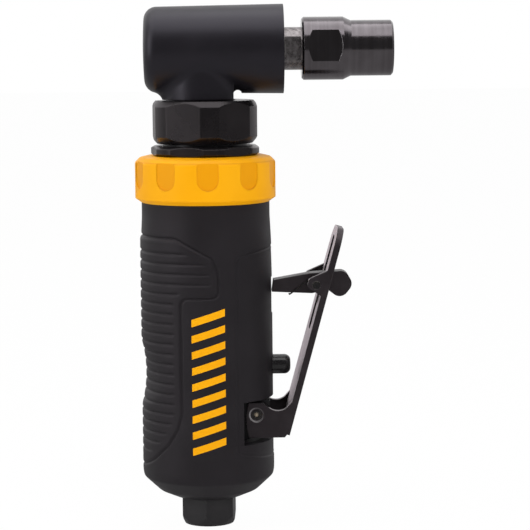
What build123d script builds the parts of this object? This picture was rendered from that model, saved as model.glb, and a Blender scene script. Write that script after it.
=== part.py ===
from build123d import *
import os
from math import acos, atan2, cos, degrees, hypot, pi, radians, sin, sqrt, tan

os.makedirs("parts", exist_ok=True)

# Right angle die grinder, in millimetres and degrees
# The origin is the centre of the air inlet's mouth, +Z runs up the motor axis, +X along the spindle

# Fits
slip = 0.05  # radial clearance of pieces that are assembled and stay together
running = 0.08  # radial clearance of pieces that turn or slide on each other
play = 0.3  # clearance of moving pieces that pass each other
end_gap = 0.2  # axial clearance beside a moving or trapped piece

# Air inlet
inlet_flats = 16.0
inlet_turn = 23.6
inlet_hex_height = 10.5
inlet_face_radius = 7.75
inlet_slope = 63.0
inlet_thread_radius = 6.24
inlet_thread_depth = 15.0
inlet_hole_radius = 4.5
bushing_radius = 7.6
bushing_length = 12.4
inlet_seal_wire = 0.8
inlet_seal_height = 2.6
screen_thickness = 0.6
screen_hole_radius = 0.45
screen_hole_pitch = 1.4
muffler_length = 3.1
muffler_radius = 11.8
plenum_radius = 5.5
plenum_height = 3.0
passage_radius = 2.4

# Motor housing
housing_radius = 17.4
housing_wall = 2.4
motor_floor = 1.5
exhaust_channels = 5
exhaust_spread = 100.0
exhaust_radius = 1.5
feed_radius = 1.4
feed_land = 0.4

# Throttle valve
valve_height = 50.45
valve_bore_radius = 5.5
seat_gap = 1.4
seat_thickness = 1.8
seat_hole_radius = 2.4
guide_nose_length = 3.2
guide_nose_radius = 3.9
guide_flange = 2.06
guide_socket = 1.4
stem_radius = 3.1
stem_reach = 5.4
stem_tip_rounding = 1.9
stem_room = 2.4
stem_rod_radius = 1.5
stem_seal_wire = 0.5
poppet_radius = 3.8
poppet_thickness = 3.2
poppet_socket = 2.0
valve_spring_space = 9.25
valve_spring_radius = 2.9
valve_spring_wire = 0.35
valve_spring_turns = 5

# Vane motor
plate_wall = 2.0
rear_bearing_bore = 3.0
rear_bearing_outside = 9.5
rear_bearing_width = 6.0
front_bearing_bore = 4.0
front_bearing_outside = 11.0
front_bearing_width = 7.0
bearing_balls = 7
bearing_shoulder = 0.8
cylinder_length = 28.0
cylinder_wall = 3.8
rotor_drop = 1.0
rotor_seal_gap = 0.12
vane_count = 4
vane_thickness = 2.0
vane_root = 5.4
port_height = 3.0
port_width = 2.4
port_count = 4
feed_length = 21.0
feed_port_height = 12.6
feed_port_radius = 1.1
dowel_radius = 1.0
dowel_length = 12.0
washer_thickness = 1.0
washer_bore = 9.4
drive_flats = 4.0
drive_length = 7.4

# Nose piece and collar
nose_plug_length = 8.05
nose_flange = 3.5
nose_radius = 13.0
nose_eye_radius = 6.0
collar_overhang = 1.2
collar_height = 14.5
collar_lip = 1.9
collar_top_inset = 3.7
collar_top_chamfer = 1.5
collar_crown = 0.5
collar_top_rounding = 1.2
collar_foot_chamfer = 1.35
pocket_count = 10
pocket_turn = 2.1
pocket_width = 6.6
pocket_depth = 0.5
pocket_foot = 4.55

# Nuts below the head
jam_nut_height = 3.1
jam_nut_flats = 32.4
jam_nut_outside = 34.3
jam_nut_face_radius = 15.9
jam_nut_turn = 10.0
nut_spacing = 0.7
clamp_nut_height = 13.3
clamp_nut_flats = 31.75
clamp_nut_outside = 33.8
clamp_nut_top_radius = 15.4
clamp_nut_foot_radius = 15.0
clamp_nut_turn = 5.6
clamp_nut_shoulder = 3.4
clamp_nut_eye = 9.9
jam_nut_slope = 30.0
clamp_nut_slope = 50.0

# Angle head
head_radius = 13.9
head_back_radius = 13.3
head_back = -18.9
head_front = 24.75
head_crown = 0.6
head_rounding = 4.0
head_back_wall = 3.3
neck_rise = 1.9
neck_gap = 0.3
neck_radius = 11.95
neck_offset = -0.9
neck_flat = 9.1
neck_groove_radius = 1.3
neck_blend_radius = 3.8
head_flange = 2.4
head_flange_radius = 12.6
spigot_radius = 11.3
spigot_length = 12.0
gear_chamber_radius = 9.8

# Bevel gears and their bearings
bevel_module = 1.0
pinion_teeth = 12
gear_teeth = 16
face_width = 3.4
tooth_addendum = 0.85
tooth_dedendum = 1.2
tooth_backlash = 0.25
root_bite = 0.15
pressure_angle = 20.0
pinion_hub = 4.0
pinion_bearing_bore = 3.5
lower_bearing_outside = 9.5
lower_bearing_width = 6.0
upper_bearing_outside = 7.0
upper_bearing_width = 5.0
spacer_wall = 1.4
circlip_thickness = 1.0
circlip_depth = 0.5
circlip_width = 1.6
circlip_gap = 5.0
circlip_setback = 0.8
gear_hub = 5.2
gear_hub_radius = 6.2
key_width = 2.0
key_length = 4.0

# Spindle, cap and collet
rear_spindle_bore = 4.0
rear_spindle_outside = 8.0
rear_spindle_width = 5.0
front_spindle_bore = 5.0
front_spindle_outside = 11.0
front_spindle_width = 6.0
cap_length = 5.3
cap_hole_radius = 0.9
cap_hole_reach = 9.7
cap_hole_depth = 2.5
seal_width = 2.0
seal_wall = 1.8
spindle_radius = 6.65
spindle_gap = 5.7
spindle_flats = 11.0
spindle_flat_width = 5.0
spindle_nose_length = 16.3
collet_bore_radius = 3.175
collet_length = 24.0
collet_back_radius = 4.3
collet_mouth_radius = 5.2
collet_head_radius = 5.9
collet_head_length = 2.4
collet_cone_length = 3.5
collet_cone_radius = 4.5
collet_slot = 0.7
collet_slots = 4
collet_solid_length = 4.0
shank_hole_depth = 7.0
nut_large_radius = 9.8
nut_small_radius = 8.65
nut_length = 28.4
nut_large_length = 12.9
nut_cone_length = 2.4
nut_edge_chamfer = 0.6
nut_end_chamfer = 0.6
nut_mouth_radius = 3.9
nut_flats = 17.0
nut_flat_middle = 7.2
nut_flat_length = 10.5
nut_flat_end_radius = 10.0
nut_turn_at_rest = -6.0

# Grip sleeve
grip_wall = 3.4
grip_taper = 0.75
grip_taper_start = 72.0
grip_taper_end = 98.0
grip_opening_radius = 10.1
grip_foot = 8.8
grip_cone_step = 5.2
grip_cone_height = 11.2
grip_shoulder_step = 0.3
grip_shoulder_height = 15.8
grip_shoulder_rounding = 2.0
exhaust_lip = 1.2
exhaust_room_height = 1.0
rib_count = 23
rib_pitch = 3.12
rib_first = 22.0
rib_depth = 0.6
rib_valley = 1.8
rib_reach_share = 0.88
hollow_height = 49.0
hollow_half_length = 10.5
hollow_depth = 1.4
hollow_offset = 4.0
hollow_overrun = 1.4
panel_groove_width = 0.8
panel_groove_depth = 0.6
panel_corner = 1.6
# corners of the ribbed panel's edge and of the lever panel's edge: across as a share of the grip's radius, up
rib_panel = (
    (-1.03, 92.3),
    (-0.46, 92.2),
    (0.1, 85.9),
    (0.177, 81.5),
    (0.177, 73.9),
    (-0.387, 73.8),
    (-0.387, 37.5),
    (-0.45, 33.0),
    (-0.6, 27.7),
    (-0.82, 22.6),
    (-1.03, 19.2),
)
lever_panel = ((1.03, 88.5), (0.45, 86.3), (0.44, 25.3), (1.03, 22.2))

# Throttle lever, pivoted on a pin across the housing's boss
lever_pin_depth = 5.7
lever_pin_z = 36.1
lever_pin_radius = 1.5
lever_pin_bore = 0.8
lever_lean = 15.4
lever_width = 23.0
sheet = 2.0
strap_inner = 9.7
strap_foot = -3.6
strap_top = 62.8
strap_corner = 7.0
slot_foot = 29.1
slot_top = 59.8
slot_width = 7.0
slot_corner = 2.3
ear_top = 6.9
ear_heel = -1.5
ear_toe = 8.8
ear_foot = -7.2
ear_back = -2.4
ear_bulge = 0.8
ear_head = 3.8
ear_flat_end = 2.0
ear_nick_start = 4.1
ear_nick_end = 9.4
ear_nick_edge = 2.1
ear_nick_floor = 1.2
ear_sink_radius = 2.2
ear_sink_depth = 0.5
boss_reach = 4.3
boss_foot = 5.2
boss_head = 4.2
boss_clearance = 0.6
window_left = 3.9
window_foot = 8.6
window_top = 4.9

# Safety lock on the lever
lock_pin_out = 19.0
lock_pin_z = 76.7
lock_pin_radius = 1.25
lock_width = 6.0
lock_tail_top = 0.8
lock_tail_foot = -2.9
lock_tail_slant = 0.5
# corners of the lock, across and up from its pin
lock_brow = (-1.5, 2.8)
lock_crown = (9.6, 3.5)
lock_nose = (12.1, -0.8)
lock_chin = (8.2, -5.7)
lock_throat = (4.2, -2.6)
lock_heel = (-1.0, -3.5)
lock_crown_rounding = 2.8
lock_nose_rounding = 2.9
lock_tip_depth = 0.3
lock_seat_depth = 1.5
lock_seat_width = 7.2
lock_seat_foot = 67.0
lock_seat_top = 78.5
lock_seat_corner = 1.0
lock_flange_foot = 40.6
lock_flange_top = 51.0
lock_flange_reach = 2.7
lock_spring_wire = 0.35
lock_spring_pitch = 1.2
lock_spring_turns = 2
lock_spring_reach = 8.1
lock_spring_drop = 3.8
lock_spring_leg = 6.0

# Heights that follow from the stack of pieces
housing_base = inlet_hex_height + muffler_length + 2 * end_gap
bushing_top = housing_base + bushing_length
screen_top = bushing_top + screen_thickness
plenum_top = screen_top + plenum_height
motor_base = valve_height + valve_bore_radius + motor_floor
rear_plate_top = motor_base + rear_bearing_width + plate_wall
cylinder_top = rear_plate_top + cylinder_length
front_seat = cylinder_top + plate_wall
front_plate_top = front_seat + front_bearing_width
washer_top = front_plate_top + washer_thickness
housing_top = washer_top + nose_plug_length
flange_top = housing_top + nose_flange
collar_top = flange_top + collar_lip
collar_base = collar_top - collar_height
jam_nut_top = collar_top + jam_nut_height
clamp_nut_base = jam_nut_top + nut_spacing
clamp_nut_top = clamp_nut_base + clamp_nut_height
neck_base = clamp_nut_top + neck_gap
head_axis = clamp_nut_top + neck_rise + head_radius
head_flange_top = clamp_nut_top - clamp_nut_shoulder
nose_top = head_flange_top - head_flange
spigot_base = nose_top - spigot_length

# Sizes that follow from the housing's radius and the lever's width
motor_radius = housing_radius - housing_wall
cylinder_bore_radius = motor_radius - cylinder_wall
rotor_radius = cylinder_bore_radius - rotor_drop
dowel_reach = (motor_radius + cylinder_bore_radius) / 2
exhaust_room_radius = housing_radius - exhaust_lip
grip_radius = housing_radius + grip_wall
grip_top_radius = grip_radius - grip_taper
grip_cone_radius = grip_radius - grip_cone_step
grip_shoulder_radius = grip_radius - grip_shoulder_step
collar_radius = grip_radius + collar_overhang
collar_top_radius = collar_radius - collar_top_inset
lever_pin_x = grip_radius - lever_pin_depth
lock_pin_x = lever_pin_x + lock_pin_out
boss_width = lever_width - 2 * (sheet + boss_clearance)

# Places along the valve, from the guide's outer end inwards
guide_end = sqrt(housing_radius**2 - valve_bore_radius**2) - slip
guide_flange_start = guide_end - guide_flange
guide_step = guide_flange_start - guide_socket
guide_nose_start = guide_flange_start - guide_nose_length
feed_reach = guide_flange_start - feed_land - feed_radius
seat_back = guide_nose_start - seat_gap - seat_thickness
poppet_face = seat_back - slip
poppet_back = poppet_face - poppet_thickness
valve_bore_end = poppet_back - valve_spring_space
stem_inner_end = guide_step + stem_room
stem_tip = grip_radius + stem_reach

# Places along the spindle
front_bearing_face = head_front - cap_length
front_bearing_back = front_bearing_face - front_spindle_width
rear_bearing_back = head_back + head_back_wall
rear_bearing_face = rear_bearing_back + rear_spindle_width
nut_back = head_front + spindle_gap
nut_front = nut_back + nut_length
spindle_end = nut_back + spindle_nose_length

# Lines that turned pieces are drawn on: across is the radius, up is the place along the axis
spindle_axis = Axis((0, 0, head_axis), (1, 0, 0))
spindle_plane = Plane(origin=(0, 0, head_axis), x_dir=(0, 0, 1), z_dir=(0, 1, 0))
valve_axis = Axis((0, 0, valve_height), (1, 0, 0))
valve_plane = Plane(origin=(0, 0, valve_height), x_dir=(0, 0, 1), z_dir=(0, 1, 0))
motor_line = (Plane.XZ, Axis.Z)
spindle_line = (spindle_plane, spindle_axis)
valve_line = (valve_plane, valve_axis)


def finish(piece, name):
    piece.part.label = name
    export_step(piece.part, f"parts/{name}.step")


def outline(line, *points):
    with BuildSketch(line[0]) as profile:
        with BuildLine():
            Polyline(*points, close=True)
        make_face()
    return profile.sketch


def band(line, inner, outer, start, end):
    return outline(line, (inner, start), (outer, start), (outer, end), (inner, end))


def disc(line, across, along, radius):
    with BuildSketch(line[0]) as profile:
        with Locations((across, along)):
            Circle(radius)
    return profile.sketch


def ball_bearing(name, line, bore, outside, width, start):
    axis = line[1]
    middle = start + width / 2
    ball_circle = (bore + outside) / 2
    ball_radius = (outside - bore) / 2 - bearing_shoulder - 2 * slip
    ring_edge = ball_radius / 2
    race = disc(line, ball_circle, middle, ball_radius + slip)
    with BuildPart() as outer_ring:
        revolve(band(line, ball_circle + ring_edge, outside, start, start + width), axis=axis)
        revolve(race, axis=axis, mode=Mode.SUBTRACT)
    finish(outer_ring, name + "_outer_ring")
    with BuildPart() as inner_ring:
        revolve(band(line, bore, ball_circle - ring_edge, start, start + width), axis=axis)
        revolve(race, axis=axis, mode=Mode.SUBTRACT)
    finish(inner_ring, name + "_inner_ring")
    with BuildPart(Plane(axis.position + axis.direction * middle, z_dir=axis.direction)) as balls:
        with PolarLocations(ball_circle, bearing_balls):
            Sphere(ball_radius)
    finish(balls, name + "_balls")


def hex_nut(flats, outside, bore, base, top, foot_radius, top_radius, chamfer_angle, turn):
    slope = tan(radians(chamfer_angle))
    foot_drop = (outside / 2 - foot_radius) * slope
    top_drop = (outside / 2 - top_radius) * slope
    with BuildPart() as nut:
        revolve(
            outline(
                motor_line,
                (bore, base),
                (foot_radius, base),
                (outside / 2, base + foot_drop),
                (outside / 2, top - top_drop),
                (top_radius, top),
                (bore, top),
            ),
            axis=Axis.Z,
        )
        with BuildSketch(Plane.XY.offset(base)):
            RegularPolygon(flats / 2, 6, major_radius=False, rotation=turn - 90)
        extrude(amount=top - base, mode=Mode.INTERSECT)
    return nut


def join_arcs(start, start_way, end, end_way):
    chord = end - start
    ways = start_way + end_way
    spread = 2 * (1 - start_way.dot(end_way))
    along = chord.dot(ways)
    if spread < 1e-6:
        reach = chord.dot(chord) / (2 * along)
    else:
        reach = (sqrt(along * along + spread * chord.dot(chord)) - along) / spread
    first_corner = start + start_way * reach
    last_corner = end - end_way * reach
    middle = (first_corner + last_corner) * 0.5
    TangentArc(start, middle, tangent=start_way)
    TangentArc(middle, end, tangent=last_corner - first_corner)


def least_gap(points, wire, clear_run):
    spacing = (points[1] - points[0]).length
    skip = int(clear_run / spacing) + 1
    nearest = min(
        (points[j] - points[i]).length for i in range(len(points)) for j in range(i + skip, len(points))
    )
    return nearest - 2 * wire


# Air inlet bushing, screwed into the foot of the housing
inlet_corner = inlet_flats / 2 / cos(radians(30)) + play
with BuildPart() as inlet_bushing:
    with BuildSketch():
        RegularPolygon(inlet_flats / 2, 6, major_radius=False, rotation=inlet_turn)
    extrude(amount=inlet_hex_height)
    revolve(
        outline(
            motor_line,
            (0, 0),
            (inlet_face_radius, 0),
            (inlet_corner, (inlet_corner - inlet_face_radius) * tan(radians(inlet_slope))),
            (inlet_corner, inlet_hex_height),
            (0, inlet_hex_height),
        ),
        axis=Axis.Z,
        mode=Mode.INTERSECT,
    )
    revolve(band(motor_line, 0, bushing_radius, inlet_hex_height, bushing_top), axis=Axis.Z)
    revolve(
        band(
            motor_line,
            bushing_radius - 2 * inlet_seal_wire + slip,
            bushing_radius + inlet_seal_wire,
            housing_base + inlet_seal_height - inlet_seal_wire - slip,
            housing_base + inlet_seal_height + inlet_seal_wire + slip,
        ),
        axis=Axis.Z,
        mode=Mode.SUBTRACT,
    )
    revolve(band(motor_line, 0, inlet_thread_radius, 0, inlet_thread_depth), axis=Axis.Z, mode=Mode.SUBTRACT)
    revolve(band(motor_line, 0, inlet_hole_radius, 0, bushing_top), axis=Axis.Z, mode=Mode.SUBTRACT)
finish(inlet_bushing, "inlet_bushing")

with BuildPart() as inlet_o_ring:
    seal_circle = bushing_radius - inlet_seal_wire + slip
    revolve(
        disc(motor_line, seal_circle, housing_base + inlet_seal_height, inlet_seal_wire - slip), axis=Axis.Z
    )
finish(inlet_o_ring, "inlet_o_ring")

# Strainer held between the bushing and the housing
screen_rows = int(2 * (inlet_hole_radius - screen_hole_radius) / screen_hole_pitch)
with BuildPart() as inlet_screen:
    revolve(band(motor_line, 0, bushing_radius - slip, bushing_top, screen_top), axis=Axis.Z)
    with BuildSketch(Plane.XY.offset(bushing_top)):
        with GridLocations(screen_hole_pitch, screen_hole_pitch, screen_rows, screen_rows):
            Circle(screen_hole_radius)
    extrude(amount=screen_thickness, mode=Mode.SUBTRACT)
finish(inlet_screen, "inlet_screen")

with BuildPart() as exhaust_muffler:
    muffler_base = inlet_hex_height + end_gap
    revolve(
        band(motor_line, bushing_radius + slip, muffler_radius, muffler_base, muffler_base + muffler_length),
        axis=Axis.Z,
    )
finish(exhaust_muffler, "exhaust_muffler")

# Motor housing with the lever boss, the valve bore and the air passages
window_z0 = lever_pin_z - window_foot
window_z1 = lever_pin_z + window_top
window_x0 = lever_pin_x - window_left
with BuildPart() as motor_housing:
    revolve(band(motor_line, 0, housing_radius, housing_base, housing_top), axis=Axis.Z)
    with BuildSketch(Plane.XZ):
        with Locations(((window_x0 + grip_radius) / 2, (window_z0 + window_z1) / 2)):
            Rectangle(grip_radius - window_x0, window_z1 - window_z0)
    extrude(amount=grip_radius, both=True, mode=Mode.SUBTRACT)
    with BuildSketch(Plane.XZ):
        with BuildLine():
            Polyline(
                (0, window_z0),
                (window_x0, window_z0),
                (lever_pin_x + boss_reach, lever_pin_z - boss_foot),
                (lever_pin_x + boss_reach, lever_pin_z + boss_head),
                (window_x0, window_z1),
                (0, window_z1),
                close=True,
            )
        make_face()
    extrude(amount=boss_width / 2, both=True)
    with BuildSketch(Plane.XZ):
        with Locations((lever_pin_x, lever_pin_z)):
            Circle(lever_pin_radius + slip)
    extrude(amount=boss_width, both=True, mode=Mode.SUBTRACT)
    revolve(band(motor_line, 0, motor_radius + slip, motor_base, housing_top), axis=Axis.Z, mode=Mode.SUBTRACT)
    revolve(
        band(motor_line, 0, bushing_radius + slip, housing_base, screen_top), axis=Axis.Z, mode=Mode.SUBTRACT
    )
    revolve(band(motor_line, 0, plenum_radius, screen_top, plenum_top), axis=Axis.Z, mode=Mode.SUBTRACT)
    revolve(band(motor_line, 0, passage_radius, plenum_top, valve_height), axis=Axis.Z, mode=Mode.SUBTRACT)
    revolve(
        band(valve_line, 0, valve_bore_radius + slip, valve_bore_end, housing_radius),
        axis=valve_axis,
        mode=Mode.SUBTRACT,
    )
    with BuildSketch(Plane.XY.offset(valve_height)):
        with Locations((feed_reach, 0)):
            Circle(feed_radius)
    extrude(amount=motor_base - valve_height, mode=Mode.SUBTRACT)
    with BuildSketch(Plane.XY.offset(housing_base)):
        with PolarLocations(
            motor_radius, exhaust_channels, 180 - exhaust_spread / 2, exhaust_spread, endpoint=True
        ):
            Circle(exhaust_radius)
    extrude(amount=cylinder_top - housing_base, mode=Mode.SUBTRACT)
finish(motor_housing, "motor_housing")

# Throttle valve, from the guide in the housing's side to the spring at the end of the bore
with BuildPart() as valve_guide:
    revolve(
        outline(
            valve_line,
            (stem_rod_radius + running, guide_nose_start),
            (guide_nose_radius, guide_nose_start),
            (guide_nose_radius, guide_flange_start),
            (valve_bore_radius, guide_flange_start),
            (valve_bore_radius, guide_end),
            (stem_radius + running, guide_end),
            (stem_radius + running, guide_step),
            (stem_rod_radius + running, guide_step),
        ),
        axis=valve_axis,
    )
    stem_seal_circle = stem_radius + running + stem_seal_wire
    stem_seal_place = (guide_flange_start + guide_end) / 2
    revolve(
        band(
            valve_line,
            0,
            stem_seal_circle + stem_seal_wire + slip,
            stem_seal_place - stem_seal_wire - slip,
            stem_seal_place + stem_seal_wire + slip,
        ),
        axis=valve_axis,
        mode=Mode.SUBTRACT,
    )
finish(valve_guide, "valve_guide")

with BuildPart() as stem_o_ring:
    revolve(disc(valve_line, stem_seal_circle, stem_seal_place, stem_seal_wire), axis=valve_axis)
finish(stem_o_ring, "stem_o_ring")

with BuildPart() as valve_seat:
    revolve(
        band(valve_line, seat_hole_radius, valve_bore_radius, seat_back, seat_back + seat_thickness),
        axis=valve_axis,
    )
finish(valve_seat, "valve_seat")

with BuildPart() as valve_stem:
    with BuildSketch(valve_plane):
        with BuildLine():
            Polyline(
                (0, poppet_face - poppet_socket),
                (stem_rod_radius, poppet_face - poppet_socket),
                (stem_rod_radius, stem_inner_end),
                (stem_radius, stem_inner_end),
                (stem_radius, stem_tip),
                (0, stem_tip),
                close=True,
            )
        make_face()
        fillet(vertices().sort_by_distance((stem_radius, stem_tip, 0))[0], radius=stem_tip_rounding)
    revolve(axis=valve_axis)
finish(valve_stem, "valve_stem")

with BuildPart() as valve_poppet:
    revolve(band(valve_line, 0, poppet_radius, poppet_back, poppet_face), axis=valve_axis)
    revolve(
        band(valve_line, 0, stem_rod_radius + slip, poppet_face - poppet_socket - slip, poppet_face),
        axis=valve_axis,
        mode=Mode.SUBTRACT,
    )
finish(valve_poppet, "valve_poppet")

spring_start = valve_bore_end + valve_spring_wire + slip
spring_rise = (poppet_back - valve_spring_wire - slip - spring_start) / valve_spring_turns
quarters = 4 * valve_spring_turns


def valve_coil(quarter):
    turn = quarter * pi / 2
    place = Vector(
        spring_start + spring_rise * quarter / 4,
        valve_spring_radius * cos(turn),
        valve_height + valve_spring_radius * sin(turn),
    )
    way = Vector(spring_rise / (2 * pi), -valve_spring_radius * sin(turn), valve_spring_radius * cos(turn))
    return place, way.normalized()


with BuildPart() as valve_spring:
    with BuildLine() as valve_coils:
        for quarter in range(quarters):
            join_arcs(*valve_coil(quarter), *valve_coil(quarter + 1))
    with BuildSketch(Plane(valve_coils.line @ 0, z_dir=valve_coils.line % 0)):
        Circle(valve_spring_wire)
    sweep(path=valve_coils.line)
finish(valve_spring, "valve_spring")
coil_points = [valve_coil(step / 4)[0] for step in range(4 * quarters + 1)]
print("valve spring gap", round(least_gap(coil_points, valve_spring_wire, pi * valve_spring_radius), 3))

# Vane motor, stacked on the floor of the housing
ball_bearing(
    "rear_bearing", motor_line, rear_bearing_bore, rear_bearing_outside, rear_bearing_width, motor_base
)
ball_bearing(
    "front_bearing", motor_line, front_bearing_bore, front_bearing_outside, front_bearing_width, front_seat
)

rear_shoulder = rear_bearing_bore + bearing_shoulder
front_shoulder = front_bearing_bore + bearing_shoulder
with BuildPart() as rear_end_plate:
    revolve(
        outline(
            motor_line,
            (rear_bearing_outside + slip, motor_base),
            (motor_radius, motor_base),
            (motor_radius, rear_plate_top),
            (rear_shoulder + play, rear_plate_top),
            (rear_shoulder + play, rear_plate_top - plate_wall),
            (rear_bearing_outside + slip, rear_plate_top - plate_wall),
        ),
        axis=Axis.Z,
    )
    with BuildSketch(Plane.XY.offset(motor_base)):
        with Locations((feed_reach, 0)):
            Circle(feed_radius)
        with Locations((0, dowel_reach)):
            Circle(dowel_radius + slip)
    extrude(amount=rear_plate_top - motor_base, mode=Mode.SUBTRACT)
finish(rear_end_plate, "rear_end_plate")

bore_offset = cylinder_bore_radius - rotor_radius - rotor_seal_gap
with BuildPart() as motor_cylinder:
    with BuildSketch(Plane.XY.offset(rear_plate_top)):
        Circle(motor_radius)
        with Locations((-bore_offset, 0)):
            Circle(cylinder_bore_radius, mode=Mode.SUBTRACT)
        with Locations((0, dowel_reach)):
            Circle(dowel_radius + slip, mode=Mode.SUBTRACT)
    extrude(amount=cylinder_length)
    with BuildSketch(Plane.XY.offset(rear_plate_top)):
        with Locations((feed_reach, 0)):
            Circle(feed_radius)
    extrude(amount=feed_length, mode=Mode.SUBTRACT)
    with BuildSketch(Plane.YZ):
        with Locations((0, rear_plate_top + cylinder_length / 2)):
            with GridLocations(1, cylinder_length / (port_count + 1), 1, port_count):
                Rectangle(port_width, port_height)
    extrude(amount=-motor_radius, mode=Mode.SUBTRACT)
    with BuildSketch(Plane.YZ):
        with Locations((0, rear_plate_top + feed_port_height)):
            with GridLocations(1, cylinder_length / (port_count + 1), 1, port_count - 1):
                Circle(feed_port_radius)
    extrude(amount=feed_reach, mode=Mode.SUBTRACT)
finish(motor_cylinder, "motor_cylinder")

with BuildPart() as cylinder_dowel:
    with BuildSketch(Plane.XY.offset(motor_base + end_gap)):
        with Locations((0, dowel_reach)):
            Circle(dowel_radius)
    extrude(amount=dowel_length)
finish(cylinder_dowel, "cylinder_dowel")

with BuildPart() as front_end_plate:
    revolve(
        outline(
            motor_line,
            (front_shoulder + play, cylinder_top),
            (motor_radius, cylinder_top),
            (motor_radius, front_plate_top),
            (front_bearing_outside + slip, front_plate_top),
            (front_bearing_outside + slip, front_seat),
            (front_shoulder + play, front_seat),
        ),
        axis=Axis.Z,
    )
finish(front_end_plate, "front_end_plate")

with BuildPart() as preload_washer:
    revolve(band(motor_line, washer_bore, motor_radius, front_plate_top, washer_top), axis=Axis.Z)
finish(preload_washer, "preload_washer")

rotor_front = housing_top + end_gap
drive_top = rotor_front + end_gap
drive_base = drive_top - drive_length
with BuildPart() as rotor:
    revolve(
        outline(
            motor_line,
            (0, motor_base + end_gap),
            (rear_bearing_bore - slip, motor_base + end_gap),
            (rear_bearing_bore - slip, motor_base + rear_bearing_width),
            (rear_shoulder, motor_base + rear_bearing_width),
            (rear_shoulder, rear_plate_top + end_gap),
            (rotor_radius, rear_plate_top + end_gap),
            (rotor_radius, cylinder_top - end_gap),
            (front_shoulder, cylinder_top - end_gap),
            (front_shoulder, front_seat),
            (front_bearing_bore - slip, front_seat),
            (front_bearing_bore - slip, rotor_front),
            (0, rotor_front),
        ),
        axis=Axis.Z,
    )
    with BuildSketch(Plane.XY.offset(rear_plate_top)):
        with PolarLocations((vane_root + rotor_radius) / 2, vane_count):
            Rectangle(rotor_radius - vane_root + 2 * slip, vane_thickness + 2 * slip)
    extrude(amount=cylinder_length, mode=Mode.SUBTRACT)
    with BuildSketch(Plane.XY.offset(rotor_front)):
        RegularPolygon(drive_flats / 2 + slip, 6, major_radius=False)
    extrude(amount=drive_base - end_gap - rotor_front, mode=Mode.SUBTRACT)
finish(rotor, "rotor")

with BuildPart() as rotor_vanes:
    vane_reach = rotor_radius - 2 * slip - vane_root
    with BuildSketch(Plane.XY.offset(rear_plate_top + end_gap)):
        with PolarLocations(vane_root + vane_reach / 2, vane_count):
            Rectangle(vane_reach, vane_thickness)
    extrude(amount=cylinder_length - 2 * end_gap)
finish(rotor_vanes, "rotor_vanes")

# Nose piece, screwed into the housing over the motor
with BuildPart() as nose_piece:
    revolve(
        outline(
            motor_line,
            (nose_eye_radius, washer_top),
            (motor_radius, washer_top),
            (motor_radius, housing_top),
            (housing_radius, housing_top),
            (housing_radius, flange_top),
            (nose_radius, flange_top),
            (nose_radius, nose_top),
            (spigot_radius + slip, nose_top),
            (spigot_radius + slip, spigot_base - end_gap),
            (nose_eye_radius, spigot_base - end_gap),
        ),
        axis=Axis.Z,
    )
finish(nose_piece, "nose_piece")

# Collar ring with its pockets
collar_foot = collar_base + collar_foot_chamfer
collar_shoulder = collar_top - collar_crown - collar_top_chamfer
with BuildPart() as collar_pocket:
    with BuildSketch(Plane((collar_radius - pocket_depth, 0, 0), x_dir=(0, 1, 0), z_dir=(1, 0, 0))):
        pocket_low = collar_base + pocket_foot + pocket_width / 2
        with Locations((0, pocket_low)):
            Circle(pocket_width / 2)
        with Locations((0, (pocket_low + collar_top) / 2)):
            Rectangle(pocket_width, collar_top - pocket_low)
    extrude(amount=collar_radius)

with BuildPart() as collar_ring:
    with BuildSketch(Plane.XZ):
        with BuildLine():
            Polyline(
                (housing_radius + slip, collar_base),
                (grip_top_radius, collar_base),
                (collar_radius, collar_foot),
                (collar_radius, collar_shoulder),
                (collar_radius - collar_top_chamfer, collar_shoulder + collar_top_chamfer),
                (collar_top_radius, collar_top),
                (nose_radius + slip, collar_top),
                (nose_radius + slip, flange_top),
                (housing_radius + slip, flange_top),
                close=True,
            )
        make_face()
        fillet(vertices().sort_by_distance((collar_radius, collar_shoulder, 0))[:2], radius=collar_top_rounding)
    revolve(axis=Axis.Z)
    with PolarLocations(0, pocket_count, pocket_turn - 90):
        add(collar_pocket.part, mode=Mode.SUBTRACT)
finish(collar_ring, "collar_ring")

# Jam nut and the union nut that draws the head onto the nose
jam_nut = hex_nut(
    jam_nut_flats,
    jam_nut_outside,
    nose_radius + slip,
    collar_top,
    jam_nut_top,
    jam_nut_face_radius,
    jam_nut_face_radius,
    jam_nut_slope,
    jam_nut_turn,
)
finish(jam_nut, "jam_nut")

clamp_nut_blank = hex_nut(
    clamp_nut_flats,
    clamp_nut_outside,
    clamp_nut_eye,
    clamp_nut_base,
    clamp_nut_top,
    clamp_nut_foot_radius,
    clamp_nut_top_radius,
    clamp_nut_slope,
    clamp_nut_turn,
)
with BuildPart() as clamp_nut:
    add(clamp_nut_blank.part)
    revolve(
        band(motor_line, 0, nose_radius + slip, clamp_nut_base, head_flange_top),
        axis=Axis.Z,
        mode=Mode.SUBTRACT,
    )
finish(clamp_nut, "clamp_nut")

# Angle head
circlip_base = spigot_base + circlip_setback
lower_bearing_base = circlip_base + circlip_thickness
lower_bearing_top = lower_bearing_base + lower_bearing_width
with BuildPart() as head_blank:
    with BuildSketch(spindle_plane):
        with BuildLine():
            rim = (head_back_radius, head_back + head_crown)
            Polyline((0, head_back), (0, head_front), (head_radius, head_front), rim)
            TangentArc((0, head_back), rim, tangent=(1, 0))
        make_face()
        fillet(vertices().sort_by_distance((*rim, 0))[0], radius=head_rounding)
    revolve(axis=spindle_axis)

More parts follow.
